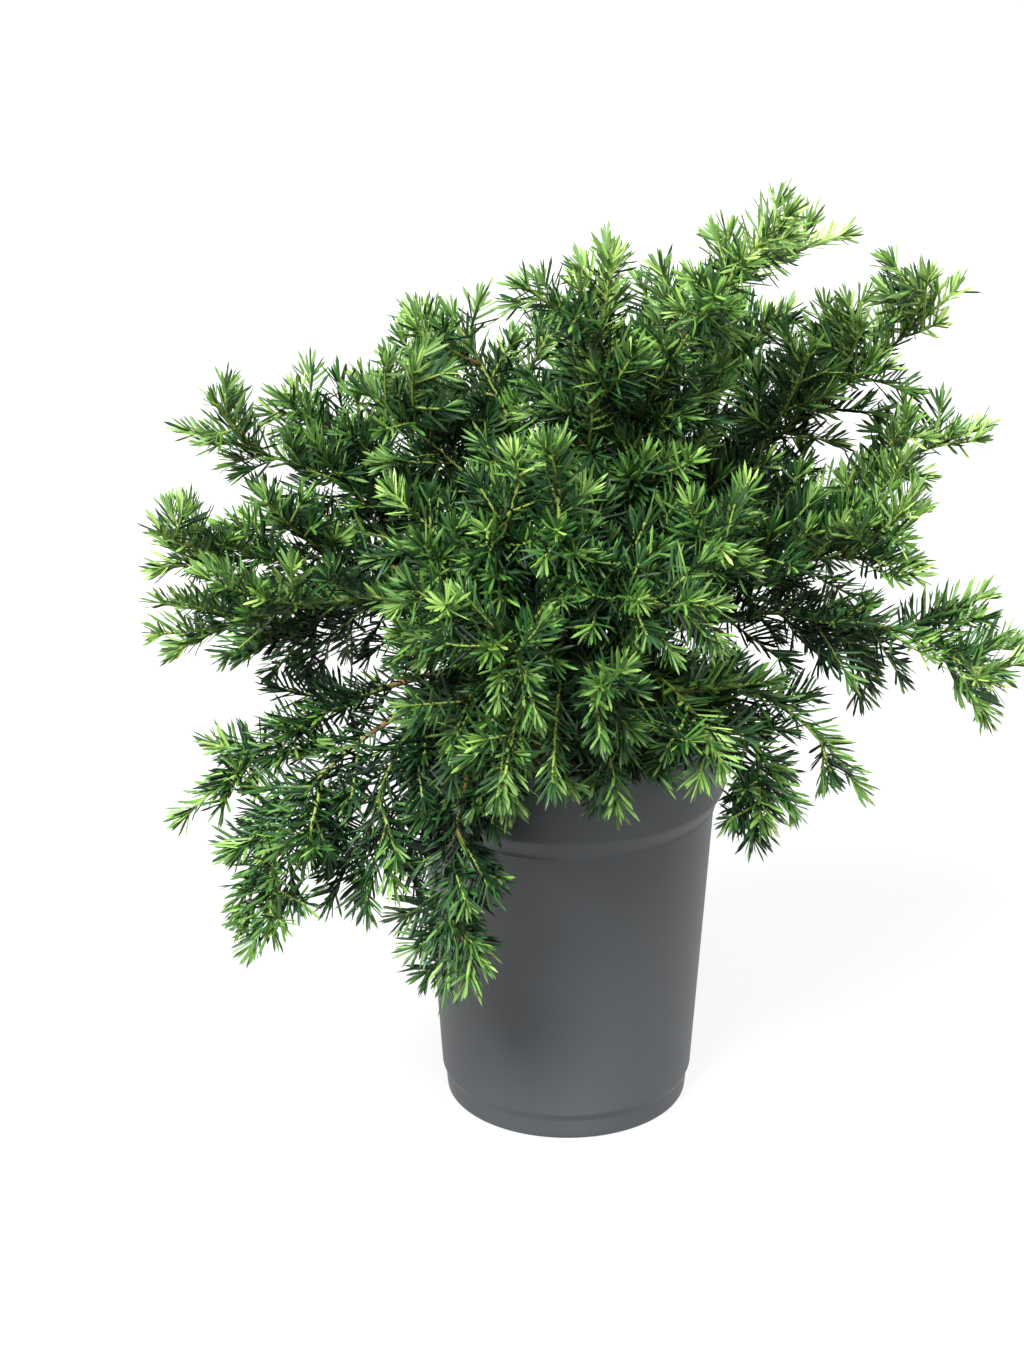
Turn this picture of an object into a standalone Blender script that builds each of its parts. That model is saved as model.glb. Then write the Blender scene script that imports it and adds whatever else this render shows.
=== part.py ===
"""A young English yew in a plain round nursery pot.

The pot stands on z = 0 with its axis on the origin. +X is the plant's right in the front view, +Y its
back and +Z up. A short trunk stands on the growing medium. Each limb is one curve from the trunk to a tip:
its bare part is a bough, and the rest is the stem of a mass of foliage, where side twigs branch by a
seeded rule. Needles are pulled out of the faces of the stem and of its twigs, larger than life, and each
stands for several. Lengths are in metres.
"""

import math
from typing import NamedTuple

import bmesh
import bpy
import numpy as np
from mathutils import Matrix, Vector

# Pot: a tapered cup with a foot band, a wall and a wide collar under its rim
POT_HEIGHT = 0.230
RIM_RADIUS = 0.0865
COLLAR_LOW = 0.188  # where the collar's straight side begins
RING_HEIGHT = 0.177  # where the collar's chamfer meets the wall
RING_RADIUS = 0.0803
FOOT_HEIGHT = 0.017
FOOT_RADIUS = 0.0678
FOOT_STEP = 0.0016  # the wall stands this much proud of the foot band
EDGE = 0.0015  # small chamfers on the pot's edges
WALL = 0.0026
FLOOR = 0.003
ROUND_STEPS = 32  # flat sides of the pot and of the growing medium

CLEAR = 0.0003  # gap between pieces that touch

# Growing medium, heaped a little round the trunk
SOIL_TOP = 0.216
SOIL_EDGE = 0.2125

# Trunk
TRUNK_HEIGHT = 0.105
TRUNK_FOOT_RADIUS = 0.0098
TRUNK_TOP_RADIUS = 0.0066
FLARE_RADIUS = 0.0040  # how far the root flare adds to the foot
FLARE_HEIGHT = 0.009  # height in which the flare fades to a third
FLARE_LOBES = 5
LOBE_DEPTH = 0.35  # how far a lobe stands out, as a share of the flare
TRUNK_STEPS = 12
TRUNK_STATIONS = (0.0, 0.04, 0.10, 0.19, 0.43, 0.71, 1.0)  # shares of its height, closest at the flare

# Limbs
BOUGH_ROOT_RADIUS = 0.0030
BOUGH_END_RADIUS = 0.0019
STEM_END_RADIUS = 0.0010
BOUGH_SIDES = 5
BOUGH_STATIONS = 3
PATH_POINTS = 40  # points that a limb's curve is worked out at

# Side twigs
TWIG_LENGTH = 0.082  # of the first on a stem, whose others get shorter towards its tip
TWIG_TAPER = 0.45  # how much shorter the last one is
TWIG_TRIES = (1.0, 0.85, 0.7, 0.55, 0.42)  # shares of that length that a twig tries in turn
TWIG_SHORTEST = 0.022
TWIG_FIRST = 0.04  # share of the stem before the first
TWIG_SPAN = 0.80  # share of the stem that they are dealt along
TWIG_VARIETY = (0.85, 1.15)  # range of the chance in their lengths and angles
TWIG_ANGLE = math.radians(48)
TWIG_LIFT = 0.12
TWIG_RAISE = math.radians(36)  # how far a side twig of a level limb is turned up from its side
TWIG_CURVE = 0.18  # how far a twig's end is raised, as a share of its length
HANG_EFFECT = 2.5  # how fast twigs stop turning up where their stem points down
TWIG_BARE = 0.2
TWIG_ROOT_RADIUS = 0.0020
TWIG_END_RADIUS = 0.0012
TWIG_SIDES = 3
GOLDEN_ANGLE = math.radians(137.5)

# Needles
NEEDLE_LENGTH = 0.027
NEEDLE_SHORTER = 0.20  # how much shorter those at a twig's two ends are
NEEDLE_PITCH = 0.0128  # distance between two needles on one side
NEEDLE_LEAN = (math.radians(68), math.radians(32))  # from the twig, at its root and at its tip
NEEDLE_RISE = math.radians(26)  # how far a needle is raised from the twig's side
END_NEEDLE = 0.75  # length of the one at a twig's end, as a share of the others'

# Room for each mass
SPACE_GAP = 0.0026  # how much nearer a point lies to its own stem than to any other
LIMB_GAP = 0.002  # between a needle or twig and a bough, the trunk or the pot
SEED = 20


class Limb(NamedTuple):
    """One limb, from the trunk to the tip of its foliage."""

    name: str
    tip: tuple[float, float, float]  # right, back and up
    foot: float  # height above the growing medium at which it leaves the trunk
    lean: float = 0.5  # how far out its crest lies, as a share of the tip's distance
    rise: float = 0.03  # height of the crest above the middle of foot and tip
    bare: float = 0.24  # share of the curve that has no foliage
    bough: bool = False  # whether the bare part is a bough of its own
    twigs: int = 4
    round_about: bool = False  # twigs stand all round the stem, as on an upright shoot
    reach: float = 1.0  # scale of its side twigs
    seed: int = 0  # which of its chance forms it takes


LIMBS = (
    # Top
    Limb("top_right", (0.147, 0.085, 0.470), 0.098, 0.14, 0.070, bough=True, twigs=6, reach=0.5, seed=2),
    Limb("top_peak", (0.110, -0.045, 0.525), 0.080, 0.30, 0.020, twigs=4, round_about=True, seed=4),
    Limb("top_middle", (0.020, -0.050, 0.501), 0.076, 0.50, 0.000, twigs=5, round_about=True, seed=5),
    Limb("top_left", (-0.062, 0.045, 0.438), 0.082, 0.30, 0.010, twigs=4, round_about=True, seed=3),
    # Right side
    Limb("right_top", (0.207, 0.065, 0.446), 0.088, 0.60, 0.000, bough=True, twigs=6, seed=7),
    Limb("right_rise", (0.160, 0.090, 0.431), 0.080, 0.60, -0.010, twigs=3, round_about=True, seed=13),
    Limb("right_upper", (0.221, 0.045, 0.375), 0.072, 0.55, 0.010, bough=True, twigs=5),
    Limb("right_middle", (0.185, 0.010, 0.342), 0.062, 0.60, 0.015, seed=10),
    Limb("right_middle_low", (0.177, -0.030, 0.328), 0.056, 0.55, 0.035, seed=7),
    Limb("right_lower", (0.226, -0.050, 0.272), 0.046, 0.55, 0.060, bough=True, twigs=6, seed=8),
    Limb("right_hanging", (0.164, 0.020, 0.238), 0.038, 0.75, 0.085, bare=0.40, twigs=3, seed=12),
    Limb("right_front_hanging", (0.152, -0.060, 0.213), 0.026, 0.65, 0.065, bough=True, twigs=4, reach=0.45, seed=10),
    Limb("right_low_hanging", (0.116, -0.085, 0.212), 0.020, 0.70, 0.065, twigs=4, seed=13),
    # Left side
    Limb("left_shoulder", (-0.109, 0.015, 0.407), 0.088, 0.50, 0.015, twigs=3, seed=4),
    Limb("left_rise", (-0.154, 0.070, 0.381), 0.084, 0.55, 0.010, twigs=3, round_about=True, seed=15),
    Limb("left_upper", (-0.204, 0.045, 0.373), 0.078, 0.50, 0.020, bough=True, twigs=5, seed=2),
    Limb("left_middle_upper", (-0.198, 0.030, 0.322), 0.070, 0.50, 0.040, seed=6),
    Limb("left_middle", (-0.215, -0.010, 0.316), 0.062, 0.50, 0.040, bough=True, twigs=5, seed=6),
    Limb("left_lower", (-0.207, -0.035, 0.280), 0.052, 0.55, 0.055, bough=True, seed=5),
    Limb(
        "left_hanging", (-0.204, -0.062, 0.195), 0.042, 0.6, 0.05,
        bough=True, bare=0.32, twigs=5, reach=0.55, seed=9,
    ),
    Limb(
        "left_front_hanging", (-0.174, -0.104, 0.163), 0.034, 0.7, 0.075,
        bough=True, bare=0.32, twigs=5, seed=11,
    ),
    Limb("left_inner_hanging", (-0.111, -0.104, 0.170), 0.022, 0.85, 0.110, bare=0.38, seed=11),
    # Front
    Limb(
        "front_left_hanging", (-0.065, -0.124, 0.126), 0.010, 1.0, 0.14,
        bough=True, bare=0.38, twigs=5, reach=0.6, seed=5,
    ),
    Limb("front_left", (-0.060, -0.150, 0.281), 0.046, 0.60, 0.060, round_about=True, seed=1),
    Limb("front_middle", (-0.035, -0.180, 0.265), 0.034, 0.65, 0.075, bough=True, bare=0.3, round_about=True, seed=4),
    Limb("front_middle_right", (-0.010, -0.176, 0.267), 0.026, 0.65, 0.070, round_about=True, seed=4),
    Limb("front_low", (0.014, -0.160, 0.286), 0.040, 0.70, 0.055, twigs=3, round_about=True, seed=9),
    Limb("front_right", (0.023, -0.135, 0.240), 0.016, 0.70, 0.060, round_about=True, seed=3),
    Limb("front_far_right", (0.077, -0.128, 0.257), 0.030, 0.60, 0.060, seed=14),
    # Middle of the crown, seen from the front
    Limb("centre_top", (-0.012, -0.030, 0.384), 0.086, 0.5, 0.000, twigs=3, round_about=True, seed=11),
    Limb("centre_right", (0.051, -0.030, 0.388), 0.074, 0.5, 0.000, round_about=True, seed=11),
    Limb("centre_far_right", (0.085, -0.070, 0.348), 0.074, 0.5, 0.010, round_about=True, seed=13),
    Limb("centre_front", (-0.008, -0.120, 0.382), 0.082, 0.5, 0.000, twigs=5, round_about=True),
    Limb("centre_left", (-0.044, -0.090, 0.370), 0.086, 0.5, 0.000, round_about=True, seed=13),
    Limb("centre_far_left", (-0.078, -0.060, 0.350), 0.074, 0.5, 0.010, round_about=True, seed=7),
    Limb("centre_low_left", (-0.042, -0.160, 0.333), 0.066, 0.5, 0.010, twigs=5, round_about=True, seed=9),
    Limb("centre_low_right", (0.034, -0.135, 0.350), 0.070, 0.5, 0.010, twigs=5, round_about=True, seed=11),
    # Back
    Limb("back_top", (0.040, 0.120, 0.404), 0.092, 0.5, 0.010, seed=2),
    Limb("back_right_upper", (0.120, 0.130, 0.412), 0.062, 0.5, 0.030, bough=True),
    Limb("back_right_lower", (0.150, 0.130, 0.282), 0.050, 0.5, 0.050, seed=15),
    Limb("back_middle", (0.030, 0.190, 0.318), 0.070, 0.5, 0.050, twigs=5, seed=1),
    Limb("back_lower", (0.040, 0.160, 0.236), 0.030, 0.6, 0.080, seed=3),
    Limb("back_left_upper", (-0.110, 0.140, 0.362), 0.060, 0.5, 0.030, seed=7),
    Limb("back_left_lower", (-0.160, 0.100, 0.225), 0.044, 0.6, 0.060, twigs=5, seed=1),
)


def clear_scene() -> None:
    """Removes every object that the file opens with."""
    for obj in list(bpy.data.objects):
        bpy.data.objects.remove(obj, do_unlink=True)


def make_collection(name: str) -> bpy.types.Collection:
    """Returns a new collection that the scene shows."""
    collection = bpy.data.collections.new(name)
    bpy.context.scene.collection.children.link(collection)
    return collection


def make_material(name: str, colour: tuple[float, float, float], roughness: float) -> bpy.types.Material:
    """Returns a Principled material of one colour."""
    material = bpy.data.materials.new(name)
    material.use_nodes = True
    shader = material.node_tree.nodes["Principled BSDF"]
    shader.inputs["Base Color"].default_value = (*colour, 1.0)
    shader.inputs["Roughness"].default_value = roughness
    shader.inputs["Metallic"].default_value = 0.0
    material.diffuse_color = (*colour, 1.0)
    return material


def put(name: str, mesh: bpy.types.Mesh, home: bpy.types.Collection, material=None) -> bpy.types.Object:
    """Returns a new object that shows a mesh."""
    obj = bpy.data.objects.new(name, mesh)
    if material is not None:
        mesh.materials.clear()
        mesh.materials.append(material)
    home.objects.link(obj)
    return obj


def turned(name: str, profile, steps: int, home, material=None) -> bpy.types.Object:
    """Turns a profile of (radius, height) points, given from top to bottom, round the Z axis."""
    mesh = bpy.data.meshes.new(name)
    mesh.from_pydata([(r, 0.0, z) for r, z in profile], [(i, i + 1) for i in range(len(profile) - 1)], [])
    obj = put(name, mesh, home, material)
    screw = obj.modifiers.new("Turn", "SCREW")
    screw.axis = "Z"
    screw.steps = screw.render_steps = steps
    screw.use_merge_vertices = True
    screw.merge_threshold = 0.00001
    screw.use_smooth_shade = True
    return obj


def taken_mesh(obj: bpy.types.Object, name: str) -> bpy.types.Mesh:
    """Returns the mesh that an object shows, with its modifiers applied, and removes the object."""
    seen = obj.evaluated_get(bpy.context.evaluated_depsgraph_get())
    mesh = bpy.data.meshes.new_from_object(seen)
    mesh.transform(obj.matrix_world)
    mesh.name = name
    bpy.data.objects.remove(obj, do_unlink=True)
    return mesh


def make_pot(home, material) -> bpy.types.Object:
    """The pot: outer side from the rim down to the underside, then the inside from the floor up."""
    outside = [
        (RIM_RADIUS - EDGE, POT_HEIGHT),
        (RIM_RADIUS, POT_HEIGHT - EDGE),
        (RIM_RADIUS, COLLAR_LOW),
        (RING_RADIUS + EDGE, RING_HEIGHT + EDGE),
        (RING_RADIUS, RING_HEIGHT - EDGE),
        (FOOT_RADIUS + FOOT_STEP, FOOT_HEIGHT + EDGE),
        (FOOT_RADIUS, FOOT_HEIGHT - EDGE),
        (FOOT_RADIUS - EDGE, EDGE),
        (FOOT_RADIUS - 2 * EDGE, 0.0),
        (0.0, 0.0),
    ]
    return turned("pot", [*pot_inside(), *outside], ROUND_STEPS, home, material)


def pot_inside():
    """The pot's inner side, from the middle of its floor up to its rim."""
    return (
        (0.0, FLOOR),
        (FOOT_RADIUS - WALL - EDGE, FLOOR),
        (FOOT_RADIUS - WALL, FLOOR + EDGE),
        (RING_RADIUS - WALL, RING_HEIGHT),
        (RIM_RADIUS - WALL, COLLAR_LOW + EDGE),
        (RIM_RADIUS - WALL, POT_HEIGHT - EDGE),
        (RIM_RADIUS - WALL + EDGE / 2, POT_HEIGHT),
    )


def make_growing_medium(home, material) -> bpy.types.Object:
    """The growing medium, which fills the pot to a little under its rim and rises to the trunk."""
    edge = RIM_RADIUS - WALL - CLEAR
    top = [
        (0.0, SOIL_TOP),
        (0.020, SOIL_TOP),
        (0.045, SOIL_TOP - 0.0008),
        (0.070, SOIL_EDGE + 0.0012),
        (edge, SOIL_EDGE),
    ]
    side = [
        (edge, COLLAR_LOW + EDGE + CLEAR),
        (RING_RADIUS - WALL - CLEAR, RING_HEIGHT + CLEAR),
        (FOOT_RADIUS - WALL - CLEAR, FLOOR + EDGE + CLEAR),
        (FOOT_RADIUS - WALL - EDGE - CLEAR, FLOOR + CLEAR),
        (0.0, FLOOR + CLEAR),
    ]
    return turned("growing_medium", [*top, *side], ROUND_STEPS, home, material)


def trunk_radius(height: float) -> float:
    """Radius of the trunk at a height above its foot, without the lobes of its flare."""
    taper = TRUNK_FOOT_RADIUS + (TRUNK_TOP_RADIUS - TRUNK_FOOT_RADIUS) * height / TRUNK_HEIGHT
    return taper + FLARE_RADIUS * math.exp(-height / FLARE_HEIGHT)


def make_trunk(home, material, extra: float = 0.0) -> bpy.types.Object:
    """The short trunk, with a lobed flare at its flat foot. A cutter is larger by extra on every side."""
    heights = [share * TRUNK_HEIGHT for share in TRUNK_STATIONS]
    foot, *side, top = [(trunk_radius(height) + extra, height) for height in heights]
    top = (top[0], TRUNK_HEIGHT + extra)
    foot = (foot[0], -extra)
    profile = [(0.0, top[1]), top, *side[::-1], foot, (0.0, foot[1])]
    mesh = taken_mesh(turned("trunk", profile, TRUNK_STEPS, home), "trunk")
    for vertex in mesh.vertices:
        x, y, z = vertex.co
        lobe = LOBE_DEPTH * FLARE_RADIUS * math.exp(-max(z, 0.0) / FLARE_HEIGHT)
        radius = math.hypot(x, y)
        if radius > 0:
            swell = 1 + lobe * math.cos(FLARE_LOBES * math.atan2(y, x)) / radius
            vertex.co = (x * swell, y * swell, z)
    mesh.transform(Matrix.Translation((0, 0, SOIL_TOP + CLEAR)))
    return put("trunk", mesh, home, material)


def unit(vector) -> np.ndarray:
    """A vector of length 1 in the same direction."""
    return vector / np.linalg.norm(vector)


class Path:
    """A smooth line in space, with a side direction that stays the same along it.

    Local coordinates are (along, side, up) in metres. Past its ends the line goes straight on.
    """

    def __init__(self, points: np.ndarray, side: np.ndarray) -> None:
        self.points = points
        self.side = side
        self.ways = np.gradient(points, axis=0)
        self.ways /= np.linalg.norm(self.ways, axis=1)[:, None]
        steps = np.linalg.norm(np.diff(points, axis=0), axis=1)
        self.marks = np.concatenate([[0.0], np.cumsum(steps)])
        self.length = float(self.marks[-1])

    def at(self, along) -> tuple[np.ndarray, np.ndarray, np.ndarray]:
        """Points of the line and its forward and upward directions at distances along it."""
        along = np.atleast_1d(along)
        held = np.clip(along, 0.0, self.length)
        points = np.stack([np.interp(held, self.marks, self.points[:, k]) for k in range(3)], 1)
        ways = np.stack([np.interp(held, self.marks, self.ways[:, k]) for k in range(3)], 1)
        ways /= np.linalg.norm(ways, axis=1)[:, None]
        ups = np.cross(ways, self.side)
        return points + (along - held)[:, None] * ways, ways, ups

    def place(self, local: np.ndarray) -> np.ndarray:
        """World points of local ones."""
        points, _, ups = self.at(local[:, 0])
        return points + local[:, 1:2] * self.side + local[:, 2:3] * ups


def limb_path(limb: Limb, first: float, last: float) -> Path:
    """The stretch of a limb between two shares of its curve.

    The curve leaves the trunk's axis, is drawn past a crest and ends at the tip, all in one upright plane.
    """
    tip = np.array(limb.tip)
    start = np.array((0.0, 0.0, SOIL_TOP + limb.foot))
    crest = np.array((tip[0] * limb.lean, tip[1] * limb.lean, (start[2] + tip[2]) / 2 + limb.rise))
    s = np.linspace(first, last, PATH_POINTS)[:, None]
    points = (1 - s) ** 2 * start + 2 * s * (1 - s) * crest + s**2 * tip
    return Path(points, unit(np.array((-tip[1], tip[0], 0.0))))


def straight_cone(path: Path, segments: int, stations: int, radii, start: float = 0.0) -> bmesh.types.BMesh:
    """A closed tapered limb as long as a path, in stations of equal length, along the X axis."""
    shape = bmesh.new()
    depth = path.length - start
    bmesh.ops.create_cone(
        shape, cap_ends=True, segments=segments, radius1=radii[0], radius2=radii[1], depth=depth
    )
    shape.transform(Matrix.Rotation(math.pi / 2, 4, "Y") @ Matrix.Translation((0, 0, start + depth / 2)))
    long_edges = [e for e in shape.edges if abs(e.verts[0].co.x - e.verts[1].co.x) > depth / 2]
    bmesh.ops.subdivide_edges(shape, edges=long_edges, cuts=stations - 1, use_grid_fill=True)
    return shape


def bend(shape: bmesh.types.BMesh, path: Path) -> None:
    """Moves a shape from its local place to its place on a path."""
    local = np.array([vertex.co[:] for vertex in shape.verts])
    for vertex, point in zip(shape.verts, path.place(local)):
        vertex.co = point


def needle_tip(share: float, side: float, lift: float) -> np.ndarray:
    """Where a needle's tip lies from its root, as (along, side, up).

    The share is the root's place along the twig. Needles lean forward the more towards the twig's tip, and
    are longest in between.
    """
    lean = NEEDLE_LEAN[0] + share * (NEEDLE_LEAN[1] - NEEDLE_LEAN[0])
    reach = NEEDLE_LENGTH * (1 - NEEDLE_SHORTER * (1 - math.sin(math.pi * share)))
    across = reach * math.sin(lean)
    return np.array((reach * math.cos(lean), side * across * math.cos(lift), across * math.sin(lift)))


def needle_on(way: np.ndarray, share: float, bare: float, all_round: bool) -> np.ndarray | None:
    """Where the needle on a face of a straight twig reaches from it, or None for a face without one.

    The face that ends the twig has a needle. So has each side face past the bare share, but a spreading
    twig has none on its flat underside.
    """
    if way[0] > 0.9:
        return np.array((END_NEEDLE * NEEDLE_LENGTH, 0.0, 0.0))
    if way[0] < -0.5 or share <= bare:
        return None
    if all_round:
        return needle_tip(share, 1.0, math.atan2(way[2], way[1]))
    if way[2] > -0.1:
        return needle_tip(share, math.copysign(1.0, way[1]), NEEDLE_RISE)
    return None


def add_needles(shape: bmesh.types.BMesh, path: Path, limb: Limb, space: "Space", bare: float) -> None:
    """Pulls the needles out of the faces of a straight twig.

    A needle that would leave the mass's own space or touch a limb is left out.
    """
    for face in list(shape.faces):
        middle = np.array(face.calc_center_median())
        reach = needle_on(np.array(face.normal), middle[0] / path.length, bare, limb.round_about)
        if reach is None:
            continue
        line = middle + np.linspace(0.3, 1.0, 4)[:, None] * reach
        if not space.holds(limb, path.place(line)):
            continue
        made = bmesh.ops.poke(shape, faces=[face])
        made["verts"][0].co = Vector(middle + reach)


class Space:
    """The room that each mass of foliage has: the points that lie nearest to its own stem.

    It keeps off the trunk, the boughs, the pot and the growing medium too.
    """

    def __init__(self) -> None:
        self.stems = {limb.name: limb_path(limb, limb.bare, 1.0).points for limb in LIMBS}
        self.boughs = {limb.name: limb_path(limb, 0.05, limb.bare).points for limb in LIMBS}
        feet = np.linspace(0, TRUNK_HEIGHT, PATH_POINTS)
        self.trunk = np.stack([0 * feet, 0 * feet, SOIL_TOP + feet], 1)

    @staticmethod
    def distance(points: np.ndarray, others: np.ndarray) -> np.ndarray:
        """Distance from each point to the nearest of some others."""
        return np.linalg.norm(points[:, None] - others[None], axis=2).min(axis=1)

    def holds(self, limb: Limb, points: np.ndarray) -> bool:
        """Whether a limb's mass may take up these points."""
        own = self.distance(points, self.stems[limb.name])
        for name, stem in self.stems.items():
            if name != limb.name and (self.distance(points, stem) < own + SPACE_GAP).any():
                return False
        for name, bough in self.boughs.items():
            if name != limb.name and (self.distance(points, bough) < BOUGH_ROOT_RADIUS + LIMB_GAP).any():
                return False
        if (self.distance(points, self.trunk) < TRUNK_FOOT_RADIUS + LIMB_GAP).any():
            return False
        out = np.hypot(points[:, 0], points[:, 1])
        in_pot = (out < RIM_RADIUS + LIMB_GAP) & (points[:, 2] < POT_HEIGHT + LIMB_GAP)
        return not in_pot.any()


def levelness(ahead: np.ndarray) -> float:
    """How far a stem's twigs turn up: fully where it is level or rises, and not at all where it hangs."""
    return min(1.0, max(0.0, 1 + HANG_EFFECT * ahead[2]))


def side_angle(twig: int, raised: float) -> float:
    """Angle about the stem at which a twig of a spreading limb stands, left and right by turns."""
    return math.pi - raised if twig % 2 else raised


def twig_paths(limb: Limb, stem: Path, space: Space, rng: np.random.Generator) -> list[Path]:
    """The side twigs of a mass, each as long as its space allows.

    They alternate left and right of the stem, or stand round it, get shorter towards the tip and curve up.
    """
    paths = []
    turn = rng.uniform(0, math.tau)
    for twig in range(limb.twigs):
        share = (twig + rng.uniform(0.25, 0.75)) / limb.twigs
        swing = TWIG_ANGLE * rng.uniform(*TWIG_VARIETY)
        planned = TWIG_LENGTH * limb.reach * (1 - TWIG_TAPER * share) * rng.uniform(*TWIG_VARIETY)
        (root,), (ahead,), (up,) = stem.at(stem.length * (TWIG_FIRST + TWIG_SPAN * share))
        level = levelness(ahead)
        angle = turn + twig * GOLDEN_ANGLE if limb.round_about else side_angle(twig, TWIG_RAISE * level)
        out = math.cos(angle) * stem.side + math.sin(angle) * up
        way = unit(math.cos(swing) * ahead + math.sin(swing) * out + TWIG_LIFT * level * up)
        side = unit(np.cross(up + 0.001 * out, way))
        for length in planned * np.array(TWIG_TRIES):
            run = np.linspace(0.0, length, PATH_POINTS)[:, None]
            points = root + run * way + TWIG_CURVE * level * run**2 / length * up
            if length > TWIG_SHORTEST and space.holds(limb, points[PATH_POINTS // 4 :]):
                paths.append(Path(points, side))
                break
    return paths


def largest_body(mesh: bpy.types.Mesh) -> bpy.types.Mesh:
    """Keeps the largest closed body of a mesh: sealed hollows are filled and loose scraps dropped."""
    shape = bmesh.new()
    shape.from_mesh(mesh)
    bmesh.ops.triangulate(shape, faces=shape.faces)
    left = set(shape.faces)
    bodies = []
    while left:
        body, queue = set(), [left.pop()]
        while queue:
            face = queue.pop()
            body.add(face)
            for edge in face.edges:
                for other in edge.link_faces:
                    if other in left:
                        left.remove(other)
                        queue.append(other)
        bodies.append(body)
    keep = max(bodies, key=len)
    bmesh.ops.delete(shape, geom=[f for f in shape.faces if f not in keep], context="FACES")
    bmesh.ops.delete(shape, geom=[v for v in shape.verts if not v.link_faces], context="VERTS")
    shape.to_mesh(mesh)
    shape.free()
    return mesh


def joined(body: bpy.types.Object, bits: bpy.types.Collection, cutter=None) -> bpy.types.Object:
    """Joins a body with a collection of bits, cuts it clear of the trunk, and removes the bits."""
    name, home, material = body.name, body.users_collection[0], body.data.materials[0]
    union = body.modifiers.new("Join", "BOOLEAN")
    union.operation = "UNION"
    union.operand_type = "COLLECTION"
    union.collection = bits
    union.solver = "MANIFOLD"
    if cutter is not None:
        cut = body.modifiers.new("Clear of trunk", "BOOLEAN")
        cut.operation = "DIFFERENCE"
        cut.object = cutter
        cut.solver = "MANIFOLD"
    bpy.context.view_layer.update()
    mesh = largest_body(taken_mesh(body, name))
    for bit in list(bits.objects):
        bpy.data.objects.remove(bit, do_unlink=True)
    return put(name, mesh, home, material)


def shape_object(shape: bmesh.types.BMesh, name: str, home, material=None) -> bpy.types.Object:
    """Returns a new object that holds a worked shape, and frees the shape."""
    mesh = bpy.data.meshes.new(name)
    shape.to_mesh(mesh)
    shape.free()
    return put(name, mesh, home, material)


def make_bough(limb: Limb, home, material, cutter) -> bpy.types.Object:
    """The bare part of a limb, cut where it meets the trunk and square where the foliage takes over."""
    path = limb_path(limb, 0.0, limb.bare)
    shape = straight_cone(path, BOUGH_SIDES, BOUGH_STATIONS, (BOUGH_ROOT_RADIUS, BOUGH_END_RADIUS))
    bend(shape, path)
    bough = shape_object(shape, "bough_" + limb.name, home, material)
    cut = bough.modifiers.new("Clear of trunk", "BOOLEAN")
    cut.operation = "DIFFERENCE"
    cut.object = cutter
    bpy.context.view_layer.update()
    mesh = largest_body(taken_mesh(bough, "bough_" + limb.name))
    return put("bough_" + limb.name, mesh, home, material)


def spiny(path: Path, limb: Limb, space: Space, radii, bare: float, start: float = 0.0) -> bmesh.types.BMesh:
    """A three-sided twig along a path, with needles past its bare share."""
    stations = max(2, round((path.length - start) / NEEDLE_PITCH))
    shape = straight_cone(path, TWIG_SIDES, stations, radii, start)
    add_needles(shape, path, limb, space, bare)
    bend(shape, path)
    return shape


def make_foliage(limb: Limb, space: Space, rng, home, bits, material, cutter) -> bpy.types.Object:
    """A mass of foliage: its stem with every twig and needle joined on."""
    stem = limb_path(limb, limb.bare, 1.0)
    radii = (BOUGH_END_RADIUS, STEM_END_RADIUS)
    whole = stem if limb.bough else limb_path(limb, 0.0, 1.0)
    shape = spiny(whole, limb, space, radii, 0.05 if limb.bough else limb.bare, CLEAR if limb.bough else 0.0)
    body = shape_object(shape, "foliage_" + limb.name, home, material)
    for path in twig_paths(limb, stem, space, rng):
        twig = spiny(path, limb, space, (TWIG_ROOT_RADIUS, TWIG_END_RADIUS), TWIG_BARE)
        shape_object(twig, "twig", bits)
    return joined(body, bits, None if limb.bough else cutter)


def main() -> None:
    """Builds every piece of the plant and its pot."""
    clear_scene()
    plant = make_collection("Potted English yew")
    cutters = make_collection("Cutters")
    bits = make_collection("Twigs to join")
    plastic = make_material("Anthracite plastic", (0.055, 0.060, 0.066), 0.5)
    medium = make_material("Growing medium", (0.10, 0.045, 0.02), 0.95)
    bark = make_material("Bark", (0.10, 0.045, 0.025), 0.8)
    green = make_material("Needles", (0.025, 0.085, 0.012), 0.45)
    make_pot(plant, plastic)
    make_growing_medium(plant, medium)
    make_trunk(plant, bark)
    cutter = make_trunk(cutters, None, CLEAR)
    cutter.name = "trunk_cutter"
    cutter.hide_render = True
    cutter.display_type = "WIRE"
    space = Space()
    for number, limb in enumerate(LIMBS):
        if limb.bough:
            make_bough(limb, plant, bark, cutter)
        rng = np.random.default_rng((SEED, number, limb.seed))
        make_foliage(limb, space, rng, plant, bits, green, cutter)
    bpy.data.collections.remove(bits)


if __name__ == "__main__":
    main()
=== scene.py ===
"""A young English yew in a round nursery pot, as it looks.

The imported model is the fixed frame, in metres with +Z up. Each sub-assembly is a class that works its
surfaces out with numpy and dresses them: the pot, the growing medium, the wood of trunk and boughs, and
the crown. The crown grows by the same seeded rule as the solids and carries it on to finer twigs, whose
needles are small closed blades in their own outline.
"""

import logging
import math
from dataclasses import dataclass, field, replace
from enum import Enum

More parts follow.
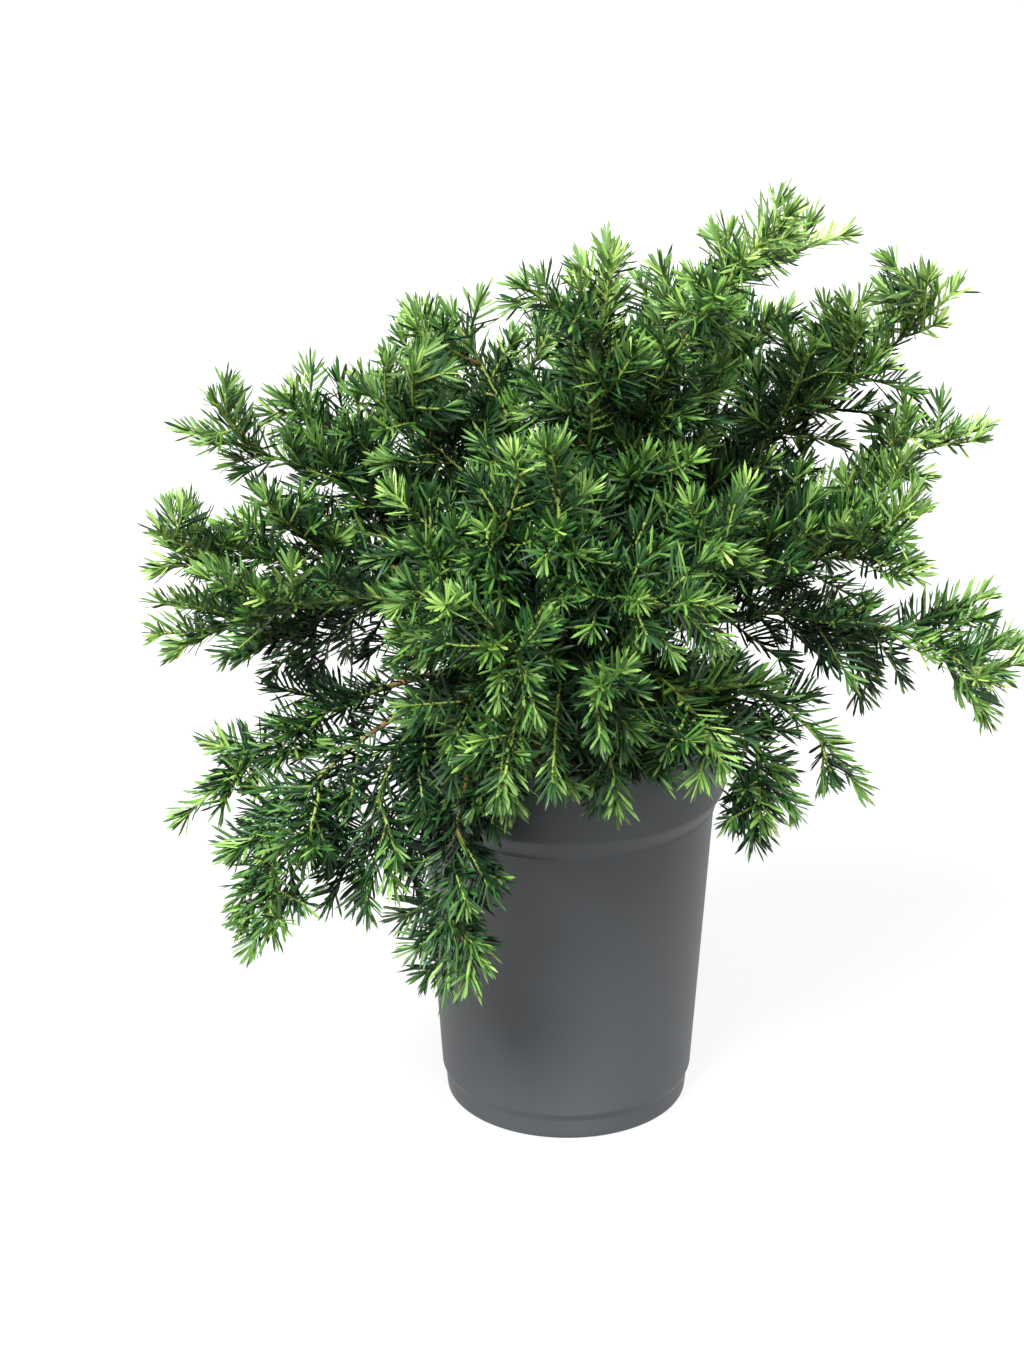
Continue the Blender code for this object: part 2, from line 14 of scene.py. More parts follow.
import bpy
import numpy as np
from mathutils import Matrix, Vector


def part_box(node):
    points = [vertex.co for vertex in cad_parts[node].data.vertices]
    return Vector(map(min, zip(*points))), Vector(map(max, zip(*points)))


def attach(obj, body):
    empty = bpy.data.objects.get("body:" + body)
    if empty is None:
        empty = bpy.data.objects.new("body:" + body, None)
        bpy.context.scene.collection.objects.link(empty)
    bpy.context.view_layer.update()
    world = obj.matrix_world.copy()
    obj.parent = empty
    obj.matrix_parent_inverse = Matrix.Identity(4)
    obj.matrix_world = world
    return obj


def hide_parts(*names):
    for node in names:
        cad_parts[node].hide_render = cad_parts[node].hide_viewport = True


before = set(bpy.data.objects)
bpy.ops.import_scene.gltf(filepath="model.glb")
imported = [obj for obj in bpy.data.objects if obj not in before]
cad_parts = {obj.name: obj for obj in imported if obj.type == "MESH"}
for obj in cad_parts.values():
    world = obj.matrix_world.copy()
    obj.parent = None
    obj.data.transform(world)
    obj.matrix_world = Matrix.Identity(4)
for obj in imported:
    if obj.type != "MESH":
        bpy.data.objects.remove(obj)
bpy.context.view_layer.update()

log = logging.getLogger("yew")

# Sizes and shares that the solids have too, in metres and radians
POT_HEIGHT = 0.230
RIM_RADIUS = 0.0865
COLLAR_LOW = 0.188
RING_HEIGHT = 0.177
RING_RADIUS = 0.0803
FOOT_HEIGHT = 0.017
FOOT_RADIUS = 0.0678
FOOT_STEP = 0.0016
WALL = 0.0026
FLOOR = 0.003
SOIL_TOP = 0.216
SOIL_EDGE = 0.2125
TRUNK_HEIGHT = 0.105
TRUNK_FOOT_RADIUS = 0.0098
TRUNK_TOP_RADIUS = 0.0066
FLARE_RADIUS = 0.0040
FLARE_HEIGHT = 0.009
FLARE_LOBES = 5
FLARE_WAVE = 0.35
BOUGH_ROOT_RADIUS = 0.0030
BOUGH_END_RADIUS = 0.0019
PATH_POINTS = 40
TWIG_TAPER = 0.45
TWIG_TRIES = (1.0, 0.85, 0.7, 0.55, 0.42)
TWIG_VARIETY = (0.85, 1.15)
TWIG_PLACE = (0.25, 0.75)  # where a twig leaves within its own stretch of the parent
TWIG_LIFT = 0.12
TWIG_RAISE = math.radians(36)
TWIG_CURVE = 0.18
HANG_EFFECT = 2.5
SPACE_GAP = 0.0026
LIMB_GAP = 0.002
BOUGH_START = 0.05  # share of a limb's curve that counts as inside the trunk
SIDE_NUDGE = 0.001  # keeps a side direction defined on a twig that goes straight up
SEED = 20
GOLDEN_ANGLE = math.radians(137.5)

# A blade's section: one margin, the ridge and the other margin
SECTION = 3
RIDGE = 1


def turns(sides: int) -> np.ndarray:
    """Angles of points that are spread evenly round a ring."""
    return np.arange(sides) * math.tau / sides


def level_rings(radii: np.ndarray, heights: np.ndarray, turn: np.ndarray) -> np.ndarray:
    """Level rings round the Z axis, with points (r cos a, r sin a, z).

    Args:
        radii: Radius of each ring, or of each point of each ring, as rows.
        heights: Height of each ring.
        turn: Angles of the points in a ring.

    Returns:
        Points of shape (rings, points in a ring, 3).
    """
    up = np.broadcast_to(heights[:, None], (len(heights), len(turn)))
    return np.stack([radii * np.cos(turn), radii * np.sin(turn), up], -1)


def trunk_line(heights: np.ndarray) -> np.ndarray:
    """Points of the trunk's middle line at heights above the growing medium."""
    return np.stack([0 * heights, 0 * heights, SOIL_TOP + heights], 1)


def unit(vectors: np.ndarray) -> np.ndarray:
    """Vectors of length 1 in the same directions, along the last axis."""
    return vectors / np.linalg.norm(vectors, axis=-1, keepdims=True)


def linear(red: int, green: int, blue: int) -> tuple[float, float, float]:
    """A colour given in screen values of 0 to 255, as linear values of 0 to 1."""
    return tuple(((c / 255 + 0.055) / 1.055) ** 2.4 if c > 10 else c / 3295 for c in (red, green, blue))


class Ripple:
    """Smooth seeded noise in space.

    Its value at a point p is the sum of cos(k . p + phase) over waves k of random direction, divided by
    the square root of half their number, so it mostly lies between -1 and 1.

    Attributes:
        wave_numbers: Smallest and largest wave number, as shares of the middle one.
        waves: The vectors k, one row each.
        phases: Their phases.
    """

    wave_numbers = (0.6, 1.7)

    def __init__(self, size: float, seed: int, waves: int = 28) -> None:
        """Draws the waves.

        Args:
            size: Middle wavelength, in metres.
            seed: Seed of the draw.
            waves: How many waves are summed.
        """
        rng = np.random.default_rng(seed)
        ways = unit(rng.normal(size=(waves, 3)))
        self.waves = ways * rng.uniform(*self.wave_numbers, (waves, 1)) * math.tau / size
        self.phases = rng.uniform(0, math.tau, waves)

    def at(self, points: np.ndarray) -> np.ndarray:
        """The noise at points that lie along the last axis."""
        return np.cos(points @ self.waves.T + self.phases).sum(-1) * math.sqrt(2 / len(self.phases))


def grid_faces(rows: int, columns: int) -> np.ndarray:
    """Quads of a grid of points whose columns close into a ring.

    Args:
        rows: Number of rings.
        columns: Points in a ring.

    Returns:
        One row of four point numbers a face. A face runs round its ring first and then along.
    """
    row, column = np.meshgrid(np.arange(rows - 1), np.arange(columns), indexing="ij")
    here, beside = row * columns + column, row * columns + (column + 1) % columns
    return np.stack([here, beside, beside + columns, here + columns], -1).reshape(-1, 4)


def fan_faces(pole: int, ring: np.ndarray) -> np.ndarray:
    """Triangles from a pole to each pair of neighbours in a closed ring."""
    return np.stack([np.full(len(ring), pole), ring, np.roll(ring, -1)], -1)


@dataclass
class Surface:
    """Closed bodies gathered for one piece.

    Attributes:
        points: Their points, one array a body or a batch of bodies.
        faces: Their faces, as arrays with one row of point numbers a face.
        slots: The number of each face's finish.
        count: How many points there are so far.
    """

    points: list[np.ndarray] = field(default_factory=list)
    faces: list[np.ndarray] = field(default_factory=list)
    slots: list[np.ndarray] = field(default_factory=list)
    count: int = 0

    def add(self, points: np.ndarray, *faces: tuple[np.ndarray, np.ndarray | int]) -> None:
        """Adds bodies.

        Args:
            points: Their points, one row each.
            faces: Pairs of a face array, with one row of point numbers a face, and the faces' finishes.
        """
        for corners, slots in faces:
            self.faces.append(corners + self.count)
            self.slots.append(np.broadcast_to(slots, len(corners)))
        self.points.append(points)
        self.count += len(points)

    def add_tube(
        self,
        rings: np.ndarray,
        start: np.ndarray,
        end: np.ndarray,
        side: np.ndarray | int = 0,
        ends: np.ndarray | int = 0,
    ) -> "Surface":
        """Adds a stack of rings that is closed by a pole at each end, with all faces outward.

        Args:
            rings: Points of shape (rings, points in a ring, 3), turning right-handed about the way along.
            start: Pole before the first ring.
            end: Pole after the last ring.
            side: Finishes of the faces between the rings.
            ends: Finishes of the triangles at the two ends.

        Returns:
            This surface.
        """
        rows, columns = rings.shape[:2]
        first, last = np.arange(columns), np.arange(columns) + (rows - 1) * columns
        fans = np.concatenate([fan_faces(rows * columns, first[::-1]), fan_faces(rows * columns + 1, last)])
        points = np.concatenate([rings.reshape(-1, 3), start[None], end[None]])
        self.add(points, (grid_faces(rows, columns), side), (fans, ends))
        return self

    def mesh(self, name: str) -> bpy.types.Mesh:
        """A smooth-shaded mesh of all that was added.

        Args:
            name: Name of the mesh.

        Returns:
            The new mesh.
        """
        mesh = bpy.data.meshes.new(name)
        points = np.concatenate(self.points).astype(np.float32)
        corners = np.concatenate([f.ravel() for f in self.faces]).astype(np.int32)
        sizes = np.concatenate([np.full(len(f), f.shape[1]) for f in self.faces])
        mesh.vertices.add(len(points))
        mesh.vertices.foreach_set("co", points.ravel())
        mesh.loops.add(len(corners))
        mesh.loops.foreach_set("vertex_index", corners)
        mesh.polygons.add(len(sizes))
        mesh.polygons.foreach_set("loop_start", (np.cumsum(sizes) - sizes).astype(np.int32))
        mesh.polygons.foreach_set("material_index", np.concatenate(self.slots).astype(np.int32))
        mesh.update(calc_edges=True)
        mesh.shade_smooth()
        return mesh


class Path:
    """A smooth line in space, with a side direction that stays the same along it.

    Attributes:
        points: Its points, one row each.
        side: Its side direction.
        ways: Its forward direction at each point.
        marks: Distance of each point along it.
        length: Its whole length.
    """

    def __init__(self, points: np.ndarray, side: np.ndarray) -> None:
        """Measures the line.

        Args:
            points: Its points, one row each.
            side: Its side direction.
        """
        self.points = points
        self.side = side
        self.ways = unit(np.gradient(points, axis=0))
        steps = np.linalg.norm(np.diff(points, axis=0), axis=1)
        self.marks = np.concatenate([[0.0], np.cumsum(steps)])
        self.length = float(self.marks[-1])

    def at(self, along: np.ndarray | float) -> tuple[np.ndarray, np.ndarray, np.ndarray]:
        """Points of the line with its forward and upward directions there.

        Args:
            along: Distances along the line. Past its ends it goes straight on.

        Returns:
            Points, forward directions and upward directions, one row a distance.
        """
        along = np.atleast_1d(along)
        held = np.clip(along, 0.0, self.length)
        points = np.stack([np.interp(held, self.marks, self.points[:, k]) for k in range(3)], 1)
        ways = unit(np.stack([np.interp(held, self.marks, self.ways[:, k]) for k in range(3)], 1))
        return points + (along - held)[:, None] * ways, ways, np.cross(ways, self.side)

    def rings(self, along: np.ndarray, radii: np.ndarray, sides: int) -> np.ndarray:
        """Rings round the line.

        A ring's point at angle a is p + r (cos a . side + sin a . up), with p the line's point.

        Args:
            along: Distances of the rings.
            radii: Radius of each ring, or of each point of each ring.
            sides: Points in a ring.

        Returns:
            Points of shape (rings, sides, 3).
        """
        points, _, ups = self.at(along)
        turn = turns(sides)
        out = np.cos(turn)[:, None] * self.side + np.sin(turn)[:, None] * ups[:, None]
        return points[:, None] + radii.reshape(len(along), -1, 1) * out


@dataclass(frozen=True)
class Limb:
    """One limb, from the trunk to the tip of its foliage, with the values that its solids have.

    Attributes:
        name: Plain name, which its nodes end with.
        tip: Where it ends: right, back and up.
        foot: Height above the growing medium at which it leaves the trunk.
        lean: How far out its crest lies, as a share of the tip's distance.
        rise: Height of the crest above the middle of foot and tip.
        bare: Share of the curve that has no foliage.
        bough: Whether the bare part is a bough of its own.
        twigs: Number of its main side twigs.
        round_about: Whether twigs and needles stand all round it.
        reach: Scale of its side twigs.
        seed: Which of its chance forms it takes.
    """

    name: str
    tip: tuple[float, float, float]
    foot: float
    lean: float = 0.5
    rise: float = 0.03
    bare: float = 0.24
    bough: bool = False
    twigs: int = 4
    round_about: bool = False
    reach: float = 1.0
    seed: int = 0

    @property
    def region(self) -> str:
        """The part of the crown that it belongs to, which is the first word of its name."""
        return self.name.split("_")[0]

    def path(self, first: float, last: float) -> Path:
        """The stretch between two shares of its curve.

        The curve is (1 - s)^2 start + 2 s (1 - s) crest + s^2 tip, in one upright plane.

        Args:
            first: Share of the curve where the stretch begins.
            last: Share where it ends.

        Returns:
            The stretch as a path.
        """
        tip = np.array(self.tip)
        start = np.array((0.0, 0.0, SOIL_TOP + self.foot))
        crest = np.array((tip[0] * self.lean, tip[1] * self.lean, (start[2] + tip[2]) / 2 + self.rise))
        s = np.linspace(first, last, PATH_POINTS)[:, None]
        points = (1 - s) ** 2 * start + 2 * s * (1 - s) * crest + s**2 * tip
        return Path(points, unit(np.array((-tip[1], tip[0], 0.0))))


LIMBS = (
    # Top
    Limb("top_right", (0.147, 0.085, 0.470), 0.098, 0.14, 0.070, bough=True, twigs=6, reach=0.5, seed=2),
    Limb("top_peak", (0.110, -0.045, 0.525), 0.080, 0.30, 0.020, twigs=4, round_about=True, seed=4),
    Limb("top_middle", (0.020, -0.050, 0.501), 0.076, 0.50, 0.000, twigs=5, round_about=True, seed=5),
    Limb("top_left", (-0.062, 0.045, 0.438), 0.082, 0.30, 0.010, twigs=4, round_about=True, seed=3),
    # Right side
    Limb("right_top", (0.207, 0.065, 0.446), 0.088, 0.60, 0.000, bough=True, twigs=6, seed=7),
    Limb("right_rise", (0.160, 0.090, 0.431), 0.080, 0.60, -0.010, twigs=3, round_about=True, seed=13),
    Limb("right_upper", (0.221, 0.045, 0.375), 0.072, 0.55, 0.010, bough=True, twigs=5),
    Limb("right_middle", (0.185, 0.010, 0.342), 0.062, 0.60, 0.015, seed=10),
    Limb("right_middle_low", (0.177, -0.030, 0.328), 0.056, 0.55, 0.035, seed=7),
    Limb("right_lower", (0.226, -0.050, 0.272), 0.046, 0.55, 0.060, bough=True, twigs=6, seed=8),
    Limb("right_hanging", (0.164, 0.020, 0.238), 0.038, 0.75, 0.085, bare=0.40, twigs=3, seed=12),
    Limb(
        "right_front_hanging", (0.152, -0.060, 0.213), 0.026, 0.65, 0.065,
        bough=True, twigs=4, reach=0.45, seed=10,
    ),
    Limb("right_low_hanging", (0.116, -0.085, 0.212), 0.020, 0.70, 0.065, twigs=4, seed=13),
    # Left side
    Limb("left_shoulder", (-0.109, 0.015, 0.407), 0.088, 0.50, 0.015, twigs=3, seed=4),
    Limb("left_rise", (-0.154, 0.070, 0.381), 0.084, 0.55, 0.010, twigs=3, round_about=True, seed=15),
    Limb("left_upper", (-0.204, 0.045, 0.373), 0.078, 0.50, 0.020, bough=True, twigs=5, seed=2),
    Limb("left_middle_upper", (-0.198, 0.030, 0.322), 0.070, 0.50, 0.040, seed=6),
    Limb("left_middle", (-0.215, -0.010, 0.316), 0.062, 0.50, 0.040, bough=True, twigs=5, seed=6),
    Limb("left_lower", (-0.207, -0.035, 0.280), 0.052, 0.55, 0.055, bough=True, seed=5),
    Limb(
        "left_hanging", (-0.204, -0.062, 0.195), 0.042, 0.6, 0.05,
        bough=True, bare=0.32, twigs=5, reach=0.55, seed=9,
    ),
    Limb(
        "left_front_hanging", (-0.174, -0.104, 0.163), 0.034, 0.7, 0.075,
        bough=True, bare=0.32, twigs=5, seed=11,
    ),
    Limb("left_inner_hanging", (-0.111, -0.104, 0.170), 0.022, 0.85, 0.110, bare=0.38, seed=11),
    # Front
    Limb(
        "front_left_hanging", (-0.065, -0.124, 0.126), 0.010, 1.0, 0.14,
        bough=True, bare=0.38, twigs=5, reach=0.6, seed=5,
    ),
    Limb("front_left", (-0.060, -0.150, 0.281), 0.046, 0.60, 0.060, round_about=True, seed=1),
    Limb(
        "front_middle", (-0.035, -0.180, 0.265), 0.034, 0.65, 0.075,
        bough=True, bare=0.3, round_about=True, seed=4,
    ),
    Limb("front_middle_right", (-0.010, -0.176, 0.267), 0.026, 0.65, 0.070, round_about=True, seed=4),
    Limb("front_low", (0.014, -0.160, 0.286), 0.040, 0.70, 0.055, twigs=3, round_about=True, seed=9),
    Limb("front_right", (0.023, -0.135, 0.240), 0.016, 0.70, 0.060, round_about=True, seed=3),
    Limb("front_far_right", (0.077, -0.128, 0.257), 0.030, 0.60, 0.060, seed=14),
    # Middle of the crown, seen from the front
    Limb("centre_top", (-0.012, -0.030, 0.384), 0.086, 0.5, 0.000, twigs=3, round_about=True, seed=11),
    Limb("centre_right", (0.051, -0.030, 0.388), 0.074, 0.5, 0.000, round_about=True, seed=11),
    Limb("centre_far_right", (0.085, -0.070, 0.348), 0.074, 0.5, 0.010, round_about=True, seed=13),
    Limb("centre_front", (-0.008, -0.120, 0.382), 0.082, 0.5, 0.000, twigs=5, round_about=True),
    Limb("centre_left", (-0.044, -0.090, 0.370), 0.086, 0.5, 0.000, round_about=True, seed=13),
    Limb("centre_far_left", (-0.078, -0.060, 0.350), 0.074, 0.5, 0.010, round_about=True, seed=7),
    Limb("centre_low_left", (-0.042, -0.160, 0.333), 0.066, 0.5, 0.010, twigs=5, round_about=True, seed=9),
    Limb("centre_low_right", (0.034, -0.135, 0.350), 0.070, 0.5, 0.010, twigs=5, round_about=True, seed=11),
    # Back
    Limb("back_top", (0.040, 0.120, 0.404), 0.092, 0.5, 0.010, seed=2),
    Limb("back_right_upper", (0.120, 0.130, 0.412), 0.062, 0.5, 0.030, bough=True),
    Limb("back_right_lower", (0.150, 0.130, 0.282), 0.050, 0.5, 0.050, seed=15),
    Limb("back_middle", (0.030, 0.190, 0.318), 0.070, 0.5, 0.050, twigs=5, seed=1),
    Limb("back_lower", (0.040, 0.160, 0.236), 0.030, 0.6, 0.080, seed=3),
    Limb("back_left_upper", (-0.110, 0.140, 0.362), 0.060, 0.5, 0.030, seed=7),
    Limb("back_left_lower", (-0.160, 0.100, 0.225), 0.044, 0.6, 0.060, twigs=5, seed=1),
)


@dataclass(frozen=True)
class PlainFinish:
    """A finish of one colour, for small things whose colour is dealt out by spray.

    Attributes:
        name: Name of the material.
        colour: Base colour in screen values.
        roughness: Roughness.
        coat: Weight of the waxy coat.
        coat_roughness: Roughness of that coat.
        specular: Strength of the mirror-like part.
    """

    name: str
    colour: tuple[int, int, int]
    roughness: float
    coat: float = 0.0
    coat_roughness: float = 0.40
    specular: float = 0.25

    def material(self) -> bpy.types.Material:
        """Makes the material, with every value on the shader's own sockets.

        Returns:
            The new material.
        """
        material = bpy.data.materials.new(self.name)
        material.use_nodes = True
        shader = material.node_tree.nodes["Principled BSDF"]
        shader.inputs["Base Color"].default_value = (*linear(*self.colour), 1.0)
        shader.inputs["Roughness"].default_value = self.roughness
        shader.inputs["Specular IOR Level"].default_value = self.specular
        shader.inputs["Coat Weight"].default_value = self.coat
        shader.inputs["Coat Roughness"].default_value = self.coat_roughness
        return material


@dataclass(frozen=True)
class GrainFinish:
    """A finish with a mottled colour, a varied roughness and a fine relief, all from noise.

    Attributes:
        name: Name of the material.
        colours: Colours of the mottling from dark to light, in screen values.
        grain: Mottles in a metre.
        relief: Bumps in a metre.
        depth: Height of the bumps, in metres.
        roughness: Lowest and highest roughness.
        stretch: How much the pattern is drawn out along Z.
        ramp_from: Noise value at the darkest colour.
        ramp_span: Noise values from the darkest to the lightest colour.
        mottle_detail: Detail of the mottles.
        relief_detail: Detail of the bumps.
    """

    name: str
    colours: tuple[tuple[int, int, int], ...]
    grain: float
    relief: float
    depth: float
    roughness: tuple[float, float]
    stretch: float = 1.0
    ramp_from: float = 0.30
    ramp_span: float = 0.40
    mottle_detail: float = 6.0
    relief_detail: float = 3.0

    def material(self) -> bpy.types.Material:
        """Makes the material, with its patterns in Object coordinates.

        Returns:
            The new material.
        """
        material = bpy.data.materials.new(self.name)
        material.use_nodes = True
        nodes, links = material.node_tree.nodes, material.node_tree.links
        shader = nodes["Principled BSDF"]
        place = nodes.new("ShaderNodeTexCoord")
        mapping = nodes.new("ShaderNodeMapping")
        mapping.inputs["Scale"].default_value = (1.0, 1.0, 1.0 / self.stretch)
        links.new(place.outputs["Object"], mapping.inputs["Vector"])
        mottle = self.noise(nodes, links, mapping, self.grain, self.mottle_detail)
        ramp = nodes.new("ShaderNodeValToRGB")
        while len(ramp.color_ramp.elements) < len(self.colours):
            ramp.color_ramp.elements.new(0.5)
        for step, (element, colour) in enumerate(zip(ramp.color_ramp.elements, self.colours)):
            element.position = self.ramp_from + self.ramp_span * step / (len(self.colours) - 1)
            element.color = (*linear(*colour), 1.0)
        links.new(mottle.outputs["Fac"], ramp.inputs["Fac"])
        links.new(ramp.outputs["Color"], shader.inputs["Base Color"])
        spread = nodes.new("ShaderNodeMapRange")
        spread.inputs["To Min"].default_value, spread.inputs["To Max"].default_value = self.roughness
        links.new(mottle.outputs["Fac"], spread.inputs["Value"])
        links.new(spread.outputs["Result"], shader.inputs["Roughness"])
        fine = self.noise(nodes, links, mapping, self.relief, self.relief_detail)
        bump = nodes.new("ShaderNodeBump")
        bump.inputs["Distance"].default_value = self.depth
        links.new(fine.outputs["Fac"], bump.inputs["Height"])
        links.new(bump.outputs["Normal"], shader.inputs["Normal"])
        return material

    @staticmethod
    def noise(
        nodes: bpy.types.Nodes,
        links: bpy.types.NodeLinks,
        mapping: bpy.types.ShaderNode,
        scale: float,
        detail: float,
    ) -> bpy.types.ShaderNode:
        """Adds a noise node behind a mapping.

        Args:
            nodes: The material's nodes.
            links: The material's links.
            mapping: The mapping.
            scale: Scale of the noise.
            detail: Detail of the noise.

        Returns:
            The new node.
        """
        noise = nodes.new("ShaderNodeTexNoise")
        noise.inputs["Scale"].default_value = scale
        noise.inputs["Detail"].default_value = detail
        links.new(mapping.outputs["Vector"], noise.inputs["Vector"])
        return noise


# Upper sides from dark to light: the darkest are painted shade for shoots inside the crown and low down; the
# others run from old needles' dark green to young needles' light green.
NEEDLE_UPPER = (
    PlainFinish("Needle black green", (4, 23, 9), 0.5, 0.0),
    PlainFinish("Needle deep shade", (14, 41, 18), 0.5, 0.05),
    PlainFinish("Needle dark green", (30, 65, 30), 0.46, 0.12),
    PlainFinish("Needle bottle green", (50, 90, 40), 0.44, 0.2),
    PlainFinish("Needle leaf green", (76, 118, 50), 0.44, 0.25),
    PlainFinish("Needle mid green", (104, 146, 62), 0.44, 0.25),
    PlainFinish("Needle light green", (134, 172, 82), 0.44, 0.25),
    PlainFinish("Needle fresh green", (164, 196, 108), 0.44, 0.25),
)
# Lower sides: the dark one is painted shade for shaded shoots, the pale one the needles' own pale underside.
NEEDLE_LOWER = (
    PlainFinish("Needle underside dark", (40, 70, 38), 0.6),
    PlainFinish("Needle underside pale", (104, 138, 74), 0.55),
)
TWIG_FINISHES = (
    PlainFinish("Twig red brown", (96, 62, 44), 0.75),
    PlainFinish("Twig light brown", (124, 92, 58), 0.7),
    PlainFinish("Twig olive", (122, 124, 66), 0.6),
    PlainFinish("Twig young green", (134, 156, 74), 0.55),
)
CHIP_FINISHES = (
    PlainFinish("Chip dark brown", (58, 32, 22), 0.9),
    PlainFinish("Chip brown", (104, 56, 34), 0.9),
    PlainFinish("Chip russet", (152, 82, 46), 0.85),
    PlainFinish("Chip orange", (190, 112, 66), 0.85),
    PlainFinish("Chip tan", (206, 150, 104), 0.85),
)
POT_PLASTIC = GrainFinish(
    name="Anthracite plastic",
    colours=((68, 72, 76), (74, 78, 82), (80, 84, 88)),
    grain=14.0,
    relief=1500.0,
    depth=0.00012,
    roughness=(0.44, 0.56),
    stretch=3.0,
)
BARK = GrainFinish(
    name="Yew bark",
    colours=((52, 30, 22), (98, 60, 42), (134, 92, 66), (160, 122, 92)),
    grain=260.0,
    relief=900.0,
    depth=0.0006,
    roughness=(0.7, 0.9),
    stretch=3.0,
)
SOIL = GrainFinish(
    name="Growing medium",
    colours=((30, 18, 13), (66, 38, 26), (112, 66, 42)),
    grain=190.0,
    relief=800.0,
    depth=0.0012,
    roughness=(0.85, 1.0),
)


def show(
    name: str, mesh: bpy.types.Mesh, finishes: list[bpy.types.Material], replaced: list[str]
) -> bpy.types.Object:
    """Shows a mesh as a piece of the plant, which stands for some nodes.

    Args:
        name: Name of the piece.
        mesh: Its mesh.
        finishes: Its finishes, in the order of the faces' numbers, as materials.
        replaced: Names of the nodes that it stands for.

    Returns:
        The new object.
    """
    piece = bpy.data.objects.new(name, mesh)
    for material in finishes:
        mesh.materials.append(material)
    bpy.context.scene.collection.objects.link(piece)
    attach(piece, "root")
    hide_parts(*replaced)
    return piece


@dataclass(frozen=True)
class BladeShape:
    """The outline of a small closed blade: a point, a few flat triangles and a point.

    Attributes:
        shares: Where the triangles lie, as shares of the length.
        widths: Their widths, as shares of the full width.
        ridge: Height of the ridge along the upper side, as a share of the width.
    """

    shares: tuple[float, ...]
    widths: tuple[float, ...]
    ridge: float

    def template(self) -> np.ndarray:
        """The blade's points: each section's margin, ridge and margin, then the root and the tip.

        Returns:
            Rows of (along, across, lift).
        """
        section = np.array([(0.5, 0.0), (0.0, self.ridge), (-0.5, 0.0)])
        rings = [
            np.column_stack([np.full(SECTION, share), width * section])
            for share, width in zip(self.shares, self.widths)
        ]
        return np.concatenate([*rings, [(0.0, 0.0, 0.0), (1.0, 0.0, 0.0)]])


@dataclass
class Blades:
    """Many small blades of one shape, as arrays with one row each.

    Attributes:
        roots: Where they begin.
        ways: Directions that they point in.
        faces: Directions that their upper sides face.
        bends: How far their tips are drawn aside, as shares of their length.
        lengths: Their lengths.
        widths: Their widths.
        tints: The finish of each upper side.
        under: The finish of each lower side.
    """

    roots: np.ndarray
    ways: np.ndarray
    faces: np.ndarray
    bends: np.ndarray
    lengths: np.ndarray
    widths: np.ndarray
    tints: np.ndarray
    under: np.ndarray

    @classmethod
    def joined(cls, batches: list["Blades"]) -> "Blades":
        """All blades of several batches."""
        names = cls.__dataclass_fields__
        return cls(*(np.concatenate([getattr(batch, name) for batch in batches]) for name in names))

    def kept(self, mask: np.ndarray) -> "Blades":
        """The blades that a mask keeps."""
        return Blades(*(getattr(self, name)[mask] for name in self.__dataclass_fields__))

    def points_at(self, share: float) -> np.ndarray:
        """The middle line's points at a share of the length."""
        return self.roots + self.lengths[:, None] * (share * self.ways + share**2 * self.bends)

    def mesh(self, name: str, shape: BladeShape) -> bpy.types.Mesh:
        """One mesh of all blades, each with a sharp margin between its upper and its lower side.

        A template point (u, v, w) of a blade lies at root + u l . way + u^2 l . bend + v b . across +
        w b . face, with l its length and b its width.

        Args:
            name: Name of the mesh.
            shape: The blades' outline.

        Returns:
            The new mesh.
        """
        template = shape.template()
        along, aside, lift = template.T[:, None, :, None]
        length, width = self.lengths[:, None, None], self.widths[:, None, None]
        faces = unit(self.faces - (self.faces * self.ways).sum(1, keepdims=True) * self.ways)
        across = np.cross(faces, self.ways)
        points = self.roots[:, None] + along * length * self.ways[:, None]
        points = points + along**2 * length * self.bends[:, None]
        points = points + aside * width * across[:, None] + lift * width * faces[:, None]
        rows, size = len(shape.shares), len(template)
        quads = grid_faces(rows, SECTION)
        first, last = np.arange(SECTION), np.arange(SECTION) + SECTION * (rows - 1)
        ends = np.concatenate([fan_faces(size - 2, first[::-1]), fan_faces(size - 1, last)])
        upper_quad = quads[:, 0] % SECTION <= RIDGE
        upper_end = (ends[:, 1:] % SECTION == RIDGE).any(1)
        offsets = np.arange(len(self.roots))[:, None, None] * size
        surface = Surface()
        surface.add(
            points.reshape(-1, 3),
            ((quads + offsets).reshape(-1, 4), self.dealt(upper_quad)),
            ((ends + offsets).reshape(-1, 3), self.dealt(upper_end)),
        )
        mesh = surface.mesh(name)
        self.sharpen(mesh, size)
        return mesh

    def dealt(self, upper: np.ndarray) -> np.ndarray:
        """The finish of each face of each blade, given which faces of a blade are upper ones."""
        return np.where(upper, self.tints[:, None], self.under[:, None]).ravel()

    @staticmethod
    def sharpen(mesh: bpy.types.Mesh, size: int) -> None:
        """Marks the edges along the blades' margins as sharp.

        Args:
            mesh: Mesh of blades.
            size: Points in a blade, whose last two are its root and tip.
        """
        ends = np.zeros(len(mesh.edges) * 2, np.int32)
        mesh.edges.foreach_get("vertices", ends)
        ends = ends.reshape(-1, 2) % size
        pole, corner = ends >= size - 2, ends % SECTION
        margin = (pole | (corner != RIDGE)).all(1) & (pole.any(1) | (corner[:, 0] == corner[:, 1]))
        sharp = mesh.attributes.new("sharp_edge", "BOOLEAN", "EDGE")
        sharp.data.foreach_set("value", margin)


class Habit(Enum):
    """How needles stand on a shoot."""

    FLAT = "in two rows, raised like a V"
    ROUND = "all round, as on an upright shoot"


